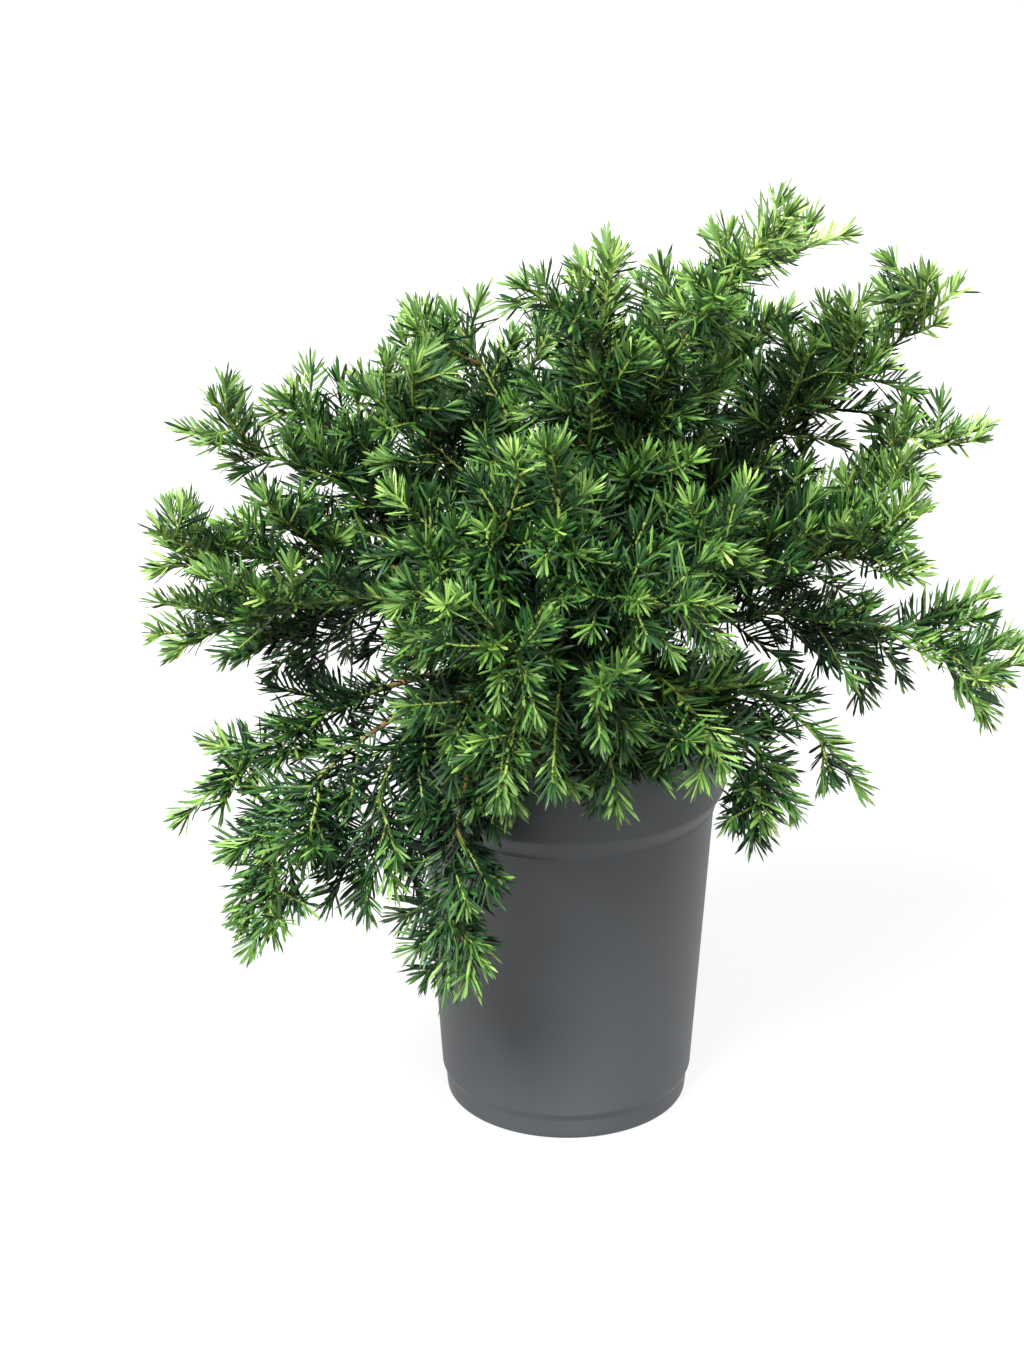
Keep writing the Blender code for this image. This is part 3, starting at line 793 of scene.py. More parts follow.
@dataclass(frozen=True)
class Branching:
    """How side twigs leave their parent.

    Attributes:
        length: Longest length.
        shortest: Length under which none is grown.
        angle: Angle from the parent.
        first: Share of the parent's length at which the lowest may stand.
        span: Share of the parent's length that they are spread over.
        gap: How much nearer they stay to their own stem than to any other.
        spread: How far the angle that they are turned up by may vary either way.
        hanging: Share of them that hang under the parent.
        finer: Whether they are the finer twigs, which the solids don't have.
    """

    length: float
    shortest: float
    angle: float = math.radians(48)
    first: float = 0.04
    span: float = 0.80
    gap: float = SPACE_GAP
    spread: float = 0.0
    hanging: float = 0.0
    finer: bool = False


MAIN_TWIGS = Branching(length=0.082, shortest=0.022)
STEM_SHOOTS = Branching(
    length=0.062,
    shortest=0.018,
    first=0.02,
    span=0.90,
    gap=-0.014,
    spread=0.8,
    hanging=0.25,
    finer=True,
)
TWIG_SHOOTS = Branching(
    length=0.044,
    shortest=0.014,
    angle=math.radians(46),
    first=0.10,
    span=0.78,
    gap=-0.014,
    spread=0.7,
    hanging=0.20,
    finer=True,
)
FINER_RAISE = 0.5  # how far finer twigs are turned up, as a share of what main twigs are
HANGING_SPREAD = 0.5  # how far from straight down a hanging twig may leave, in radians
NEEDLE_ROOM = 0.009  # how far inside its solid's box a finer twig ends, for its needles
HANGING_ROOM = 0.006  # how far under that box it may end
BARE_OF_SHOOTS = 0.55  # share of a limb's bare part that has no finer twigs either

# Share of the finer twigs' length that a limb has: little on those that stand out against the sky
FINER_SHARE = {
    name: share
    for share, names in (
        (0.5, "top_peak top_middle right_hanging left_upper"),
        (0.6, "top_right top_left right_rise left_middle front_middle_right front_low front_right"),
        (0.6, "front_far_right back_left_upper"),
        (0.7, "right_top right_upper right_middle right_low_hanging left_shoulder front_middle back_top"),
        (0.7, "back_right_upper back_right_lower"),
        (0.8, "right_lower right_front_hanging left_front_hanging centre_low_left centre_low_right"),
        (0.9, "left_hanging"),
        (1.3, "left_lower"),
    )
    for name in names.split()
}


class Space:
    """The room that each mass of foliage has: the points that lie nearest to its own stem.

    It keeps off the trunk, the boughs, the pot and the growing medium too.
    """

    def __init__(self) -> None:
        """Lays out the stems, the boughs and the trunk as points."""
        self.boxes = {limb.name: np.array(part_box("foliage_" + limb.name)) for limb in LIMBS}
        self.stems = {limb.name: limb.path(limb.bare, 1.0).points for limb in LIMBS}
        self.boughs = {limb.name: limb.path(BOUGH_START, limb.bare).points for limb in LIMBS}
        self.trunk = trunk_line(np.linspace(0, TRUNK_HEIGHT, PATH_POINTS))

    @staticmethod
    def distance(points: np.ndarray, others: np.ndarray) -> np.ndarray:
        """Distance from each point to the nearest of some others."""
        return np.linalg.norm(points[:, None] - others[None], axis=2).min(axis=1)

    def holds(self, limb: Limb, points: np.ndarray, gap: float) -> bool:
        """Whether a limb's twig may take up some points.

        Args:
            limb: The limb.
            points: Points of the twig.
            gap: How much nearer they have to be to its own stem than to any other.

        Returns:
            True if they are in its room.
        """
        own = self.distance(points, self.stems[limb.name])
        for name, stem in self.stems.items():
            if name != limb.name and (self.distance(points, stem) < own + gap).any():
                return False
        for name, bough in self.boughs.items():
            if name != limb.name and (self.distance(points, bough) < BOUGH_ROOT_RADIUS + LIMB_GAP).any():
                return False
        if (self.distance(points, self.trunk) < TRUNK_FOOT_RADIUS + LIMB_GAP).any():
            return False
        out = np.hypot(points[:, 0], points[:, 1])
        return not ((out < RIM_RADIUS + LIMB_GAP) & (points[:, 2] < POT_HEIGHT + LIMB_GAP)).any()

    def within_reach(self, limb: Limb, point: np.ndarray) -> bool:
        """Whether a limb's finer twig that ends at a point stays, with its needles, in its solid's reach.

        Args:
            limb: The limb.
            point: The twig's end.

        Returns:
            True if it stays inside.
        """
        lowest, highest = self.boxes[limb.name]
        lowest = lowest + (NEEDLE_ROOM, NEEDLE_ROOM, -HANGING_ROOM)
        return bool(((point > lowest) & (point < highest - NEEDLE_ROOM)).all())

    def twigs(
        self, limb: Limb, parent: Path, count: int, plan: Branching, rng: np.random.Generator
    ) -> list[Path]:
        """Side twigs of a parent, each as long as its room allows.

        They alternate left and right of the parent, or stand round it, get shorter towards its tip, and
        curve up by a share of the square of their run. They turn up less where the parent hangs, and some
        of the finer ones hang under it.

        Args:
            limb: Limb that they belong to.
            parent: Path that they leave.
            count: How many are tried.
            plan: How they leave it.
            rng: Random draws.

        Returns:
            Their paths.
        """
        paths = []
        turn = rng.uniform(0, math.tau)
        for twig in range(count):
            share = (twig + rng.uniform(*TWIG_PLACE)) / count
            swing = plan.angle * rng.uniform(*TWIG_VARIETY)
            planned = plan.length * limb.reach * (1 - TWIG_TAPER * share) * rng.uniform(*TWIG_VARIETY)
            (root,), (ahead,), (up,) = parent.at(parent.length * (plan.first + plan.span * share))
            level = min(1.0, max(0.0, 1 + HANG_EFFECT * ahead[2]))
            raised = TWIG_RAISE * level
            if plan.finer:
                planned *= FINER_SHARE.get(limb.name, 1.0)
                raised = FINER_RAISE * raised + rng.uniform(-plan.spread, plan.spread)
            sideways = math.pi - raised if twig % 2 else raised
            angle = turn + twig * GOLDEN_ANGLE if limb.round_about else sideways
            if plan.finer and rng.random() < plan.hanging:
                angle = -math.pi / 2 + rng.uniform(-HANGING_SPREAD, HANGING_SPREAD)
                level = 0.0
            out = math.cos(angle) * parent.side + math.sin(angle) * up
            way = unit(math.cos(swing) * ahead + math.sin(swing) * out + TWIG_LIFT * level * up)
            side = unit(np.cross(up + SIDE_NUDGE * out, way))
            for length in planned * np.array(TWIG_TRIES):
                run = np.linspace(0.0, length, PATH_POINTS)[:, None]
                points = root + run * way + TWIG_CURVE * level * run**2 / length * up
                if plan.finer and not self.within_reach(limb, points[-1]):
                    continue
                if length > plan.shortest and self.holds(limb, points[PATH_POINTS // 4 :], plan.gap):
                    paths.append(Path(points, side))
                    break
        return paths


@dataclass(frozen=True)
class ShootKind:
    """What the shoots of one order have alike.

    Attributes:
        age: Place of its root's finish among the twigs' finishes, which go from old to young.
        bare: Share of its length without needles.
        radii: Radius at its root and at its end.
        sides: Points in a ring of its twig.
        needle: Length of its longest needles.
    """

    age: float
    bare: float
    radii: tuple[float, float]
    sides: int
    needle: float


STEM = ShootKind(age=0.6, bare=0.05, radii=(BOUGH_END_RADIUS, 0.0008), sides=8, needle=0.0172)
MAIN_TWIG = ShootKind(age=1.5, bare=0.10, radii=(0.0013, 0.0008), sides=7, needle=0.0176)
FINER_TWIG = ShootKind(age=2.4, bare=0.06, radii=(0.0009, 0.0006), sides=6, needle=0.0164)


@dataclass(frozen=True)
class Shoot:
    """A twig that bears needles.

    Attributes:
        path: Its middle line.
        kind: What it has alike with others of its order.
        habit: How its needles stand.
        freshness_and_shade: 0 for an old shoot in painted shade, 1 for a young one at the crown's edge.
    """

    path: Path
    kind: ShootKind
    habit: Habit
    freshness_and_shade: float


@dataclass(frozen=True)
class FreshnessAndShade:
    """How young shoots look, and painted shade: lighter towards their limb's tip, away from the crown's
    middle and higher up.

    Attributes:
        middle: Point that the crown spreads from.
        by_reach: Weight of a shoot's distance from the middle, measured against its limb's.
        by_distance: Weight of that distance, measured against full_distance.
        full_distance: Distance from the middle that counts as 1.
        power: Power that both measures are raised to.
        light_height: Height under which shoots get painted shade.
        deepest_shade: Most that the painted shade takes off.
        chance: Standard deviation of what chance adds.
    """

    middle: tuple[float, float, float] = (0.0, 0.0, 0.27)
    by_reach: float = 0.23
    by_distance: float = 0.26
    full_distance: float = 0.20
    power: float = 1.8
    light_height: float = 0.30
    deepest_shade: float = 0.10
    chance: float = 0.11

    def of(self, limb: Limb, path: Path, rng: np.random.Generator) -> float:
        """How young one shoot looks, with its painted shade.

        Args:
            limb: The limb that it grows on.
            path: The shoot's line.
            rng: Random draws.

        Returns:
            A value of 0 to 1.
        """
        middle = np.array(self.middle)
        away = np.linalg.norm(path.points[-1] - middle)
        reach = away / np.linalg.norm(np.array(limb.tip) - middle)
        # Painted shade: shoots that end under light_height get darker needle colours.
        shade = min(0.0, max(-self.deepest_shade, path.points[-1][2] - self.light_height))
        # Shoots near the crown's middle get darker colours, partly for their older needles and partly as
        # painted shade.
        fresh = self.by_reach * reach**self.power
        fresh = fresh + self.by_distance * (away / self.full_distance) ** self.power + shade
        return float(np.clip(fresh + rng.normal(0, self.chance), 0, 1))


@dataclass(frozen=True)
class NeedleGrowth:
    """How needles stand on a shoot. Their angles are in degrees.

    Attributes:
        pitch: Distance between two needles along a shoot, left and right ones counted together.
        fewest: Fewest needles before the tuft at a shoot's end.
        tuft: Needles in the tuft.
        tuft_depth: How far back along the shoot the tuft goes.
        tuft_lean: Smallest and largest angle between a tuft's needle and the shoot.
        tuft_length: Length of the tuft's needles, as a share of the longest.
        jitter: Where a needle stands within its own stretch of the shoot.
        round_chance: Standard deviation of the turn of needles that stand all round, in radians.
        raised: How far needles in two rows are raised, and its standard deviation.
        hanging: The same for those of them that hang under the twig.
        hanging_share: Share of the needles in two rows that hang.
        hanging_size: Their lean and length, as a share of the others'.
        lean: Angle between needle and shoot at the shoot's root and at its tip.
        lean_chance: Standard deviation of that angle.
        face_chance: Standard deviation of the direction that a needle's upper side faces.
        bend_ahead: How far a needle's tip is drawn along the shoot, as a share of its length.
        bend_up: How far it is drawn up.
        bend_variety: Smallest and largest factor on both.
        bend_chance: Standard deviation of what chance adds to the bend.
        length_least: Length that all needles have, as a share of the longest.
        length_swell: How much longer the middle needles are.
        length_from: Where on the swell's half wave the shoot's root lies.
        length_variety: Smallest and largest factor on the length.
        width: Width of a needle.
        width_variety: Smallest and largest factor on the width.
        tone_rise: How much fresher the shoot's tip looks than its root.
        tone_chance: Standard deviation of a needle's freshness and painted shade.
        pale_from: Tone from which the lower side is pale; below it the lower side is dark, as painted shade.
    """

    pitch: float = 0.00100
    fewest: int = 8
    tuft: int = 9
    tuft_depth: float = 0.004
    tuft_lean: tuple[float, float] = (6, 46)
    tuft_length: float = 0.80
    jitter: tuple[float, float] = (0.1, 0.9)
    round_chance: float = 0.2
    raised: tuple[float, float] = (34, 19)
    hanging: tuple[float, float] = (-30, 14)
    hanging_share: float = 0.15
    hanging_size: tuple[float, float] = (0.7, 0.8)
    lean: tuple[float, float] = (74, 44)
    lean_chance: float = 7
    face_chance: float = 0.5
    bend_ahead: float = 0.16
    bend_up: float = 0.06
    bend_variety: tuple[float, float] = (0.2, 1.6)
    bend_chance: float = 0.05
    length_least: float = 0.72
    length_swell: float = 0.32
    length_from: float = 0.12
    length_variety: tuple[float, float] = (0.82, 1.10)
    width: float = 0.00168
    width_variety: tuple[float, float] = (0.85, 1.12)
    tone_rise: float = 0.42
    tone_chance: float = 0.12
    pale_from: float = 0.5

    def on(self, shoot: Shoot, rng: np.random.Generator) -> Blades:
        """The needles of a shoot, with a tuft at its end.

        Their lean falls in a straight line from the shoot's root to its tip, and their length follows
        least + swell sin(pi w), with w going from length_from to 1. In two rows they are raised, but some
        hang under the twig, shorter and swept along it. All round they follow the golden angle.

        Args:
            shoot: The shoot.
            rng: Random draws.

        Returns:
            Its needles.
        """
        path = shoot.path
        first = shoot.kind.bare * path.length
        row = max(self.fewest, round((path.length - first) / self.pitch))
        count = row + self.tuft
        number = np.arange(count)
        in_tuft = number >= row
        share = np.where(in_tuft, 1.0, (number + rng.uniform(*self.jitter, count)) / row).clip(0, 1)
        points, ways, ups = path.at(first + share * (path.length - first))
        points = points - ways * np.where(in_tuft, rng.uniform(0, self.tuft_depth, count), 0)[:, None]

        start = rng.uniform(0, math.tau)
        round_turn = number * GOLDEN_ANGLE + start + rng.normal(0, self.round_chance, count)
        is_round = in_tuft | (shoot.habit is Habit.ROUND)
        hangs = ~is_round & (rng.random(count) < self.hanging_share)
        rise = np.radians(np.where(hangs, rng.normal(*self.hanging, count), rng.normal(*self.raised, count)))
        flat_turn = np.where(number % 2 == 0, rise, math.pi - rise)
        turn = np.where(is_round, round_turn, flat_turn)
        out = np.cos(turn)[:, None] * path.side + np.sin(turn)[:, None] * ups

        tuft_lean = rng.uniform(*self.tuft_lean, count)
        fall = self.lean[1] - self.lean[0]
        row_lean = self.lean[0] + fall * share + rng.normal(0, self.lean_chance, count)
        lean = np.radians(np.where(in_tuft, tuft_lean, row_lean))
        lean = np.where(hangs, self.hanging_size[0] * lean, lean)
        needle_ways = np.cos(lean)[:, None] * ways + np.sin(lean)[:, None] * out
        faces = np.where(is_round[:, None], ways, ups) + rng.normal(0, self.face_chance, (count, 3))
        bends = (self.bend_ahead * ways + self.bend_up * ups) * rng.uniform(*self.bend_variety, (count, 1))
        bends = bends + rng.normal(0, self.bend_chance, (count, 3))

        longest = shoot.kind.needle
        swell = np.sin(math.pi * (self.length_from + (1 - self.length_from) * share))
        in_row = longest * (self.length_least + self.length_swell * swell)
        length = np.where(in_tuft, self.tuft_length * longest, in_row)
        length = length * rng.uniform(*self.length_variety, count)
        length = np.where(hangs, self.hanging_size[1] * length, length)
        # A needle's tone is its shoot's age and painted shade, lighter towards the shoot's tip; low tones
        # take dark colours as painted shade.
        tone = shoot.freshness_and_shade + self.tone_rise * (share - 0.5) + rng.normal(0, self.tone_chance, count)
        tints = np.clip(tone * len(NEEDLE_UPPER), 0, len(NEEDLE_UPPER) - 1).astype(int)
        # Low tones get the dark lower side as painted shade, high ones the needles' own pale lower side.
        under = len(NEEDLE_UPPER) + (tone > self.pale_from).astype(int)
        width = self.width * rng.uniform(*self.width_variety, count)
        return Blades(points, needle_ways, faces, bends, length, width, tints, under)


@dataclass(frozen=True)
class TwigTube:
    """A twig as a tapered tube with a small bud at its end.

    Attributes:
        spacing: Distance between two rings.
        fewest: Fewest rings before the bud.
        taper: Power of what is left of the length by which the radius falls.
        bud_from: How far before the twig's end the bud begins.
        bud_rings: Where the bud's rings lie, measured from the twig's end.
        bud_radii: Their radii, as shares of the radius at the twig's end.
        bud_point: How far past the twig's end the bud reaches.
        youth: How many finishes younger the twig's end is than its root.
    """

    spacing: float = 0.006
    fewest: int = 5
    taper: float = 2.2
    bud_from: float = 0.002
    bud_rings: tuple[float, ...] = (-0.001, 0.0, 0.0008)
    bud_radii: tuple[float, ...] = (1.5, 1.45, 0.8)
    bud_point: float = 0.0014
    youth: float = 5.0

    def add(self, surface: Surface, shoot: Shoot) -> None:
        """Adds a shoot's twig to a surface.

        The radius is end + (root - end) q^taper, with q the share of the length that is left.

        Args:
            surface: Where it goes.
            shoot: The shoot.
        """
        path, sides = shoot.path, shoot.kind.sides
        root, end = shoot.kind.radii
        rows = max(self.fewest, round(path.length / self.spacing))
        before_bud = np.linspace(0, path.length - self.bud_from, rows)
        along = np.concatenate([before_bud, path.length + np.array(self.bud_rings)])
        radii = end + (root - end) * (1 - along / path.length).clip(0, 1) ** self.taper
        radii[-len(self.bud_radii) :] = end * np.array(self.bud_radii)
        point = path.at(path.length + self.bud_point)[0][0]
        share = (along[:-1] + along[1:]) / 2 / path.length
        age = np.clip(shoot.kind.age + self.youth * share, 0, len(TWIG_FINISHES) - 1).astype(int)
        slots = np.repeat(age, sides), np.repeat([age[0], age[-1]], sides)
        surface.add_tube(path.rings(along, radii, sides), path.points[0], point, *slots)


def pot_radius(heights: np.ndarray) -> np.ndarray:
    """Outer radius of the pot at heights, and nothing above its rim.

    Args:
        heights: Heights over the floor.

    Returns:
        The radii.
    """
    return np.interp(
        heights,
        (0.0, FOOT_HEIGHT, RING_HEIGHT, COLLAR_LOW, POT_HEIGHT, POT_HEIGHT + 0.0005),
        (FOOT_RADIUS, FOOT_RADIUS + FOOT_STEP, RING_RADIUS, RIM_RADIUS, RIM_RADIUS, 0.0),
    )


@dataclass
class Crown:
    """Stems, twigs and needles of every mass of foliage, joined by the crown's regions.

    Attributes:
        blade: Outline of a needle.
        needles: How needles stand.
        twig: Shape of the twigs.
        freshness_and_shade: How young the shoots look, with painted shade inside the crown and low down.
        stem_spacing: Distance between finer shoots along a stem.
        twig_spacing: Distance between finer shoots along a main twig.
        checked_shares: Shares of a needle's length at which it has to be clear of the pot.
        wall_gap: Distance that needles keep from the pot's outer side.
        inner_gap: Distance that they keep from its inner side.
        soil_gap: Height that they keep over the growing medium.
        space: Room of every mass.
    """

    blade: BladeShape = BladeShape((0.08, 0.80), (0.80, 1.0), 0.30)
    needles: NeedleGrowth = NeedleGrowth()
    twig: TwigTube = TwigTube()
    freshness_and_shade: FreshnessAndShade = FreshnessAndShade()
    stem_spacing: float = 0.0085
    twig_spacing: float = 0.0115
    checked_shares: tuple[float, ...] = (0.35, 0.7, 1.0)
    wall_gap: float = 0.0008
    inner_gap: float = 0.001
    soil_gap: float = 0.002
    space: Space = field(default_factory=Space)

    def build(self) -> list[bpy.types.Object]:
        """Grows every mass and joins twigs and needles, each kind apart, by region.

        Returns:
            The new pieces.
        """
        regions: dict[str, tuple[list[Blades], Surface, list[str]]] = {}
        for number, limb in enumerate(LIMBS):
            rng = np.random.default_rng((SEED, number, limb.seed))
            needles, wood, nodes = regions.setdefault(limb.region, ([], Surface(), []))
            shoots = self.grow(limb, rng)
            needles.extend(self.needles.on(shoot, rng) for shoot in shoots)
            for shoot in shoots:
                self.twig.add(wood, shoot)
            nodes.append("foliage_" + limb.name)
        needle_finishes = [finish.material() for finish in (*NEEDLE_UPPER, *NEEDLE_LOWER)]
        twig_finishes = [finish.material() for finish in TWIG_FINISHES]
        pieces = []
        for region, (needles, wood, nodes) in regions.items():
            blades = self.clear_of_pot(Blades.joined(needles))
            mesh = blades.mesh("needles_" + region, self.blade)
            pieces.append(show("needles_" + region, mesh, needle_finishes, nodes))
            mesh = wood.mesh("twigs_" + region)
            pieces.append(show("twigs_" + region, mesh, twig_finishes, nodes))
        return pieces

    def grow(self, limb: Limb, rng: np.random.Generator) -> list[Shoot]:
        """Grows a limb's stem, its main twigs as in the solids, and finer shoots on both.

        Args:
            limb: The limb.
            rng: Random draws, started as for the solids.

        Returns:
            Its shoots.
        """
        stem = limb.path(limb.bare, 1.0)
        main = self.space.twigs(limb, stem, limb.twigs, MAIN_TWIGS, rng)
        lower = limb.path(BARE_OF_SHOOTS * limb.bare, 1.0)
        finer = self.space.twigs(limb, lower, round(lower.length / self.stem_spacing), STEM_SHOOTS, rng)
        for twig in main:
            finer += self.space.twigs(limb, twig, round(twig.length / self.twig_spacing), TWIG_SHOOTS, rng)
        whole, kind = (stem, STEM) if limb.bough else (limb.path(0.0, 1.0), replace(STEM, bare=limb.bare))
        habit = Habit.ROUND if limb.round_about else Habit.FLAT
        return [
            Shoot(path, kind, habit, self.freshness_and_shade.of(limb, path, rng))
            for kind, paths in ((kind, [whole]), (MAIN_TWIG, main), (FINER_TWIG, finer))
            for path in paths
        ]

    def clear_of_pot(self, blades: Blades) -> Blades:
        """Leaves out the needles that run into the pot's wall or the growing medium.

        Args:
            blades: The needles.

        Returns:
            Those that are clear of both.
        """
        mask = np.ones(len(blades.roots), bool)
        for share in self.checked_shares:
            points = blades.points_at(share)
            out, height = np.hypot(points[:, 0], points[:, 1]), points[:, 2]
            inside = out < RIM_RADIUS - WALL - self.inner_gap
            over_soil = inside & (height > SOIL_TOP + self.soil_gap)
            mask &= (out > pot_radius(height) + self.wall_gap) | over_soil
        return blades.kept(mask)


@dataclass
class Wood:
    """The trunk and its boughs, with the relief of their flaking bark.

    Attributes:
        trunk_sides: Points in a ring of the trunk.
        trunk_step: Height between two of its rings.
        trunk_depth: How far it goes under the growing medium's surface.
        dome: Height of the rounding at its top.
        dome_past: How far past the trunk's top the rounding would close.
        dome_least: Least square of the rounding's factor on the radius.
        dome_point: Height of the pole over the last ring.
        bough_sides: Points in a ring of a bough.
        bough_step: Length between two of its rings.
        bough_ends: How far it begins from the trunk's middle line, and how far it goes into its stem.
        collar: How much it swells at the trunk, as a share of its radius.
        collar_length: Distance over which the swelling falls to a third.
        relief: Depth of the bark's relief, as a share of the radius.
        plate_share: Share of the relief that the plates have.
        plate_edge: Steepness of the plates' edges.
        flake_share: Share of the relief that the flakes have.
        drawn_out: Scale of the plates' pattern along Z.
        plates: Noise of the plates.
        flakes: Noise of the flakes.
    """

    trunk_sides: int = 72
    trunk_step: float = 0.0010
    trunk_depth: float = 0.002
    dome: float = 0.004
    dome_past: float = 0.001
    dome_least: float = 0.05
    dome_point: float = 0.0006
    bough_sides: int = 20
    bough_step: float = 0.0012
    bough_ends: tuple[float, float] = (0.004, 0.002)
    collar: float = 0.9
    collar_length: float = 0.005
    relief: float = 0.09
    plate_share: float = 0.75
    plate_edge: float = 2.2
    flake_share: float = 0.35
    drawn_out: float = 0.35
    plates: Ripple = field(default_factory=lambda: Ripple(0.0055, 3))
    flakes: Ripple = field(default_factory=lambda: Ripple(0.0022, 4))

    def build(self) -> list[bpy.types.Object]:
        """Builds the trunk and every bough.

        Returns:
            The new pieces.
        """
        bark = [BARK.material()]
        pieces = [show("trunk_bark", self.trunk_mesh(), bark, ["trunk"])]
        for limb in LIMBS:
            if limb.bough:
                name = "bark_" + limb.name
                pieces.append(show(name, self.bough_mesh(limb, name), bark, ["bough_" + limb.name]))
        return pieces

    def barked(self, rings: np.ndarray, middles: np.ndarray) -> np.ndarray:
        """Rings with the bark's relief: long plates with steep edges, and small flakes on them.

        Each point moves away from the middle line by a share of its radius, which is the plates' noise
        pushed towards its two ends by tanh, plus about half as much of the flakes' noise.

        Args:
            rings: Points of the rings.
            middles: The rings' middle points.

        Returns:
            The moved points.
        """
        plates = np.tanh(self.plate_edge * self.plates.at(rings * (1.0, 1.0, self.drawn_out)))
        relief = self.plate_share * plates + self.flake_share * self.flakes.at(rings)
        return rings + self.relief * relief[..., None] * (rings - middles[:, None])

    def trunk_mesh(self) -> bpy.types.Mesh:
        """The trunk from under the growing medium's surface to its top.

        The radius at height h and angle a is the taper plus F exp(-h / H) (1 + W cos(5 a)), with F, H and
        W the flare's radius, height and wave. The top is rounded by the square root of what is left.

        Returns:
            Its mesh.
        """
        heights = np.arange(-self.trunk_depth, TRUNK_HEIGHT, self.trunk_step)
        turn = turns(self.trunk_sides)
        taper = TRUNK_FOOT_RADIUS + (TRUNK_TOP_RADIUS - TRUNK_FOOT_RADIUS) * heights / TRUNK_HEIGHT
        flare = FLARE_RADIUS * np.exp(-np.maximum(heights, 0) / FLARE_HEIGHT)
        radius = taper[:, None] + flare[:, None] * (1 + FLARE_WAVE * np.cos(FLARE_LOBES * turn))
        left = (TRUNK_HEIGHT + self.dome_past - heights) / self.dome
        radius = radius * np.sqrt(np.clip(left, self.dome_least, 1))[:, None]
        middles = trunk_line(heights)
        rings = self.barked(level_rings(radius, SOIL_TOP + heights, turn), middles)
        top = middles[-1] + (0, 0, self.dome_point)
        return Surface().add_tube(rings, middles[0], top).mesh("trunk_bark")

    def bough_mesh(self, limb: Limb, name: str) -> bpy.types.Mesh:
        """A bough from inside the trunk to where its foliage begins, with a collar at the trunk.

        The radius falls in a straight line along it, and swells by c exp(-d / l) at a distance d from the
        trunk's bark, with c the collar and l its length.

        Args:
            limb: The limb.
            name: Name of the mesh.

        Returns:
            Its mesh.
        """
        path = limb.path(0.0, limb.bare)
        along = np.arange(self.bough_ends[0], path.length + self.bough_ends[1], self.bough_step)
        out = np.maximum(along - TRUNK_TOP_RADIUS, 0)
        radii = np.interp(along, (0, path.length), (BOUGH_ROOT_RADIUS, BOUGH_END_RADIUS))
        radii = radii * (1 + self.collar * np.exp(-out / self.collar_length))
        middles = path.at(along)[0]
        rings = self.barked(path.rings(along, radii, self.bough_sides), middles)
        return Surface().add_tube(rings, middles[0], middles[-1]).mesh(name)


def turned(
    profile: np.ndarray, sides: int, name: str, relief: Ripple | None = None, depth: np.ndarray | float = 0.0
) -> bpy.types.Mesh:
    """A closed shape turned round the Z axis from a profile that begins and ends on it.

    Args:
        profile: Rows of (radius, height), going round the shape so that its inside lies on their left.
        sides: Points in a ring.
        name: Name of the mesh.
        relief: Noise that lifts the surface.
        depth: Height of the lift at each point of the profile.

    Returns:
        The new mesh.
    """
    inner = profile[1:-1]
    rings = level_rings(inner[:, :1], inner[:, 1], turns(sides))
    if relief is not None:
        rings[..., 2] += np.broadcast_to(depth, len(profile))[1:-1, None] * relief.at(rings)
    start, end = np.array([(0, 0, profile[0, 1]), (0, 0, profile[-1, 1])])
    return Surface().add_tube(rings, start, end).mesh(name)


def swell(low: tuple[float, float], high: tuple[float, float], steps: int = 22) -> list[tuple[float, float]]:
    """Points of a profile that widens from one height to another by w * w * (3 - 2 * w).

    Args:
        low: The lower end, as radius and height.
        high: The upper end.
        steps: Number of points.

    Returns:
        The points, without the two ends.
    """
    share = np.linspace(0, 1, steps + 2)[1:-1]
    eased = share * share * (3 - 2 * share)
    return [(low[0] + (high[0] - low[0]) * e, low[1] + (high[1] - low[1]) * w) for w, e in zip(share, eased)]


def arc(
    middle: tuple[float, float], radius: float, first: float, last: float, steps: int = 6
) -> list[tuple[float, float]]:
    """Points of an arc in a profile, between two angles in degrees."""
    turn = np.radians(np.linspace(first, last, steps))
    return [(middle[0] + radius * math.cos(t), middle[1] + radius * math.sin(t)) for t in turn]


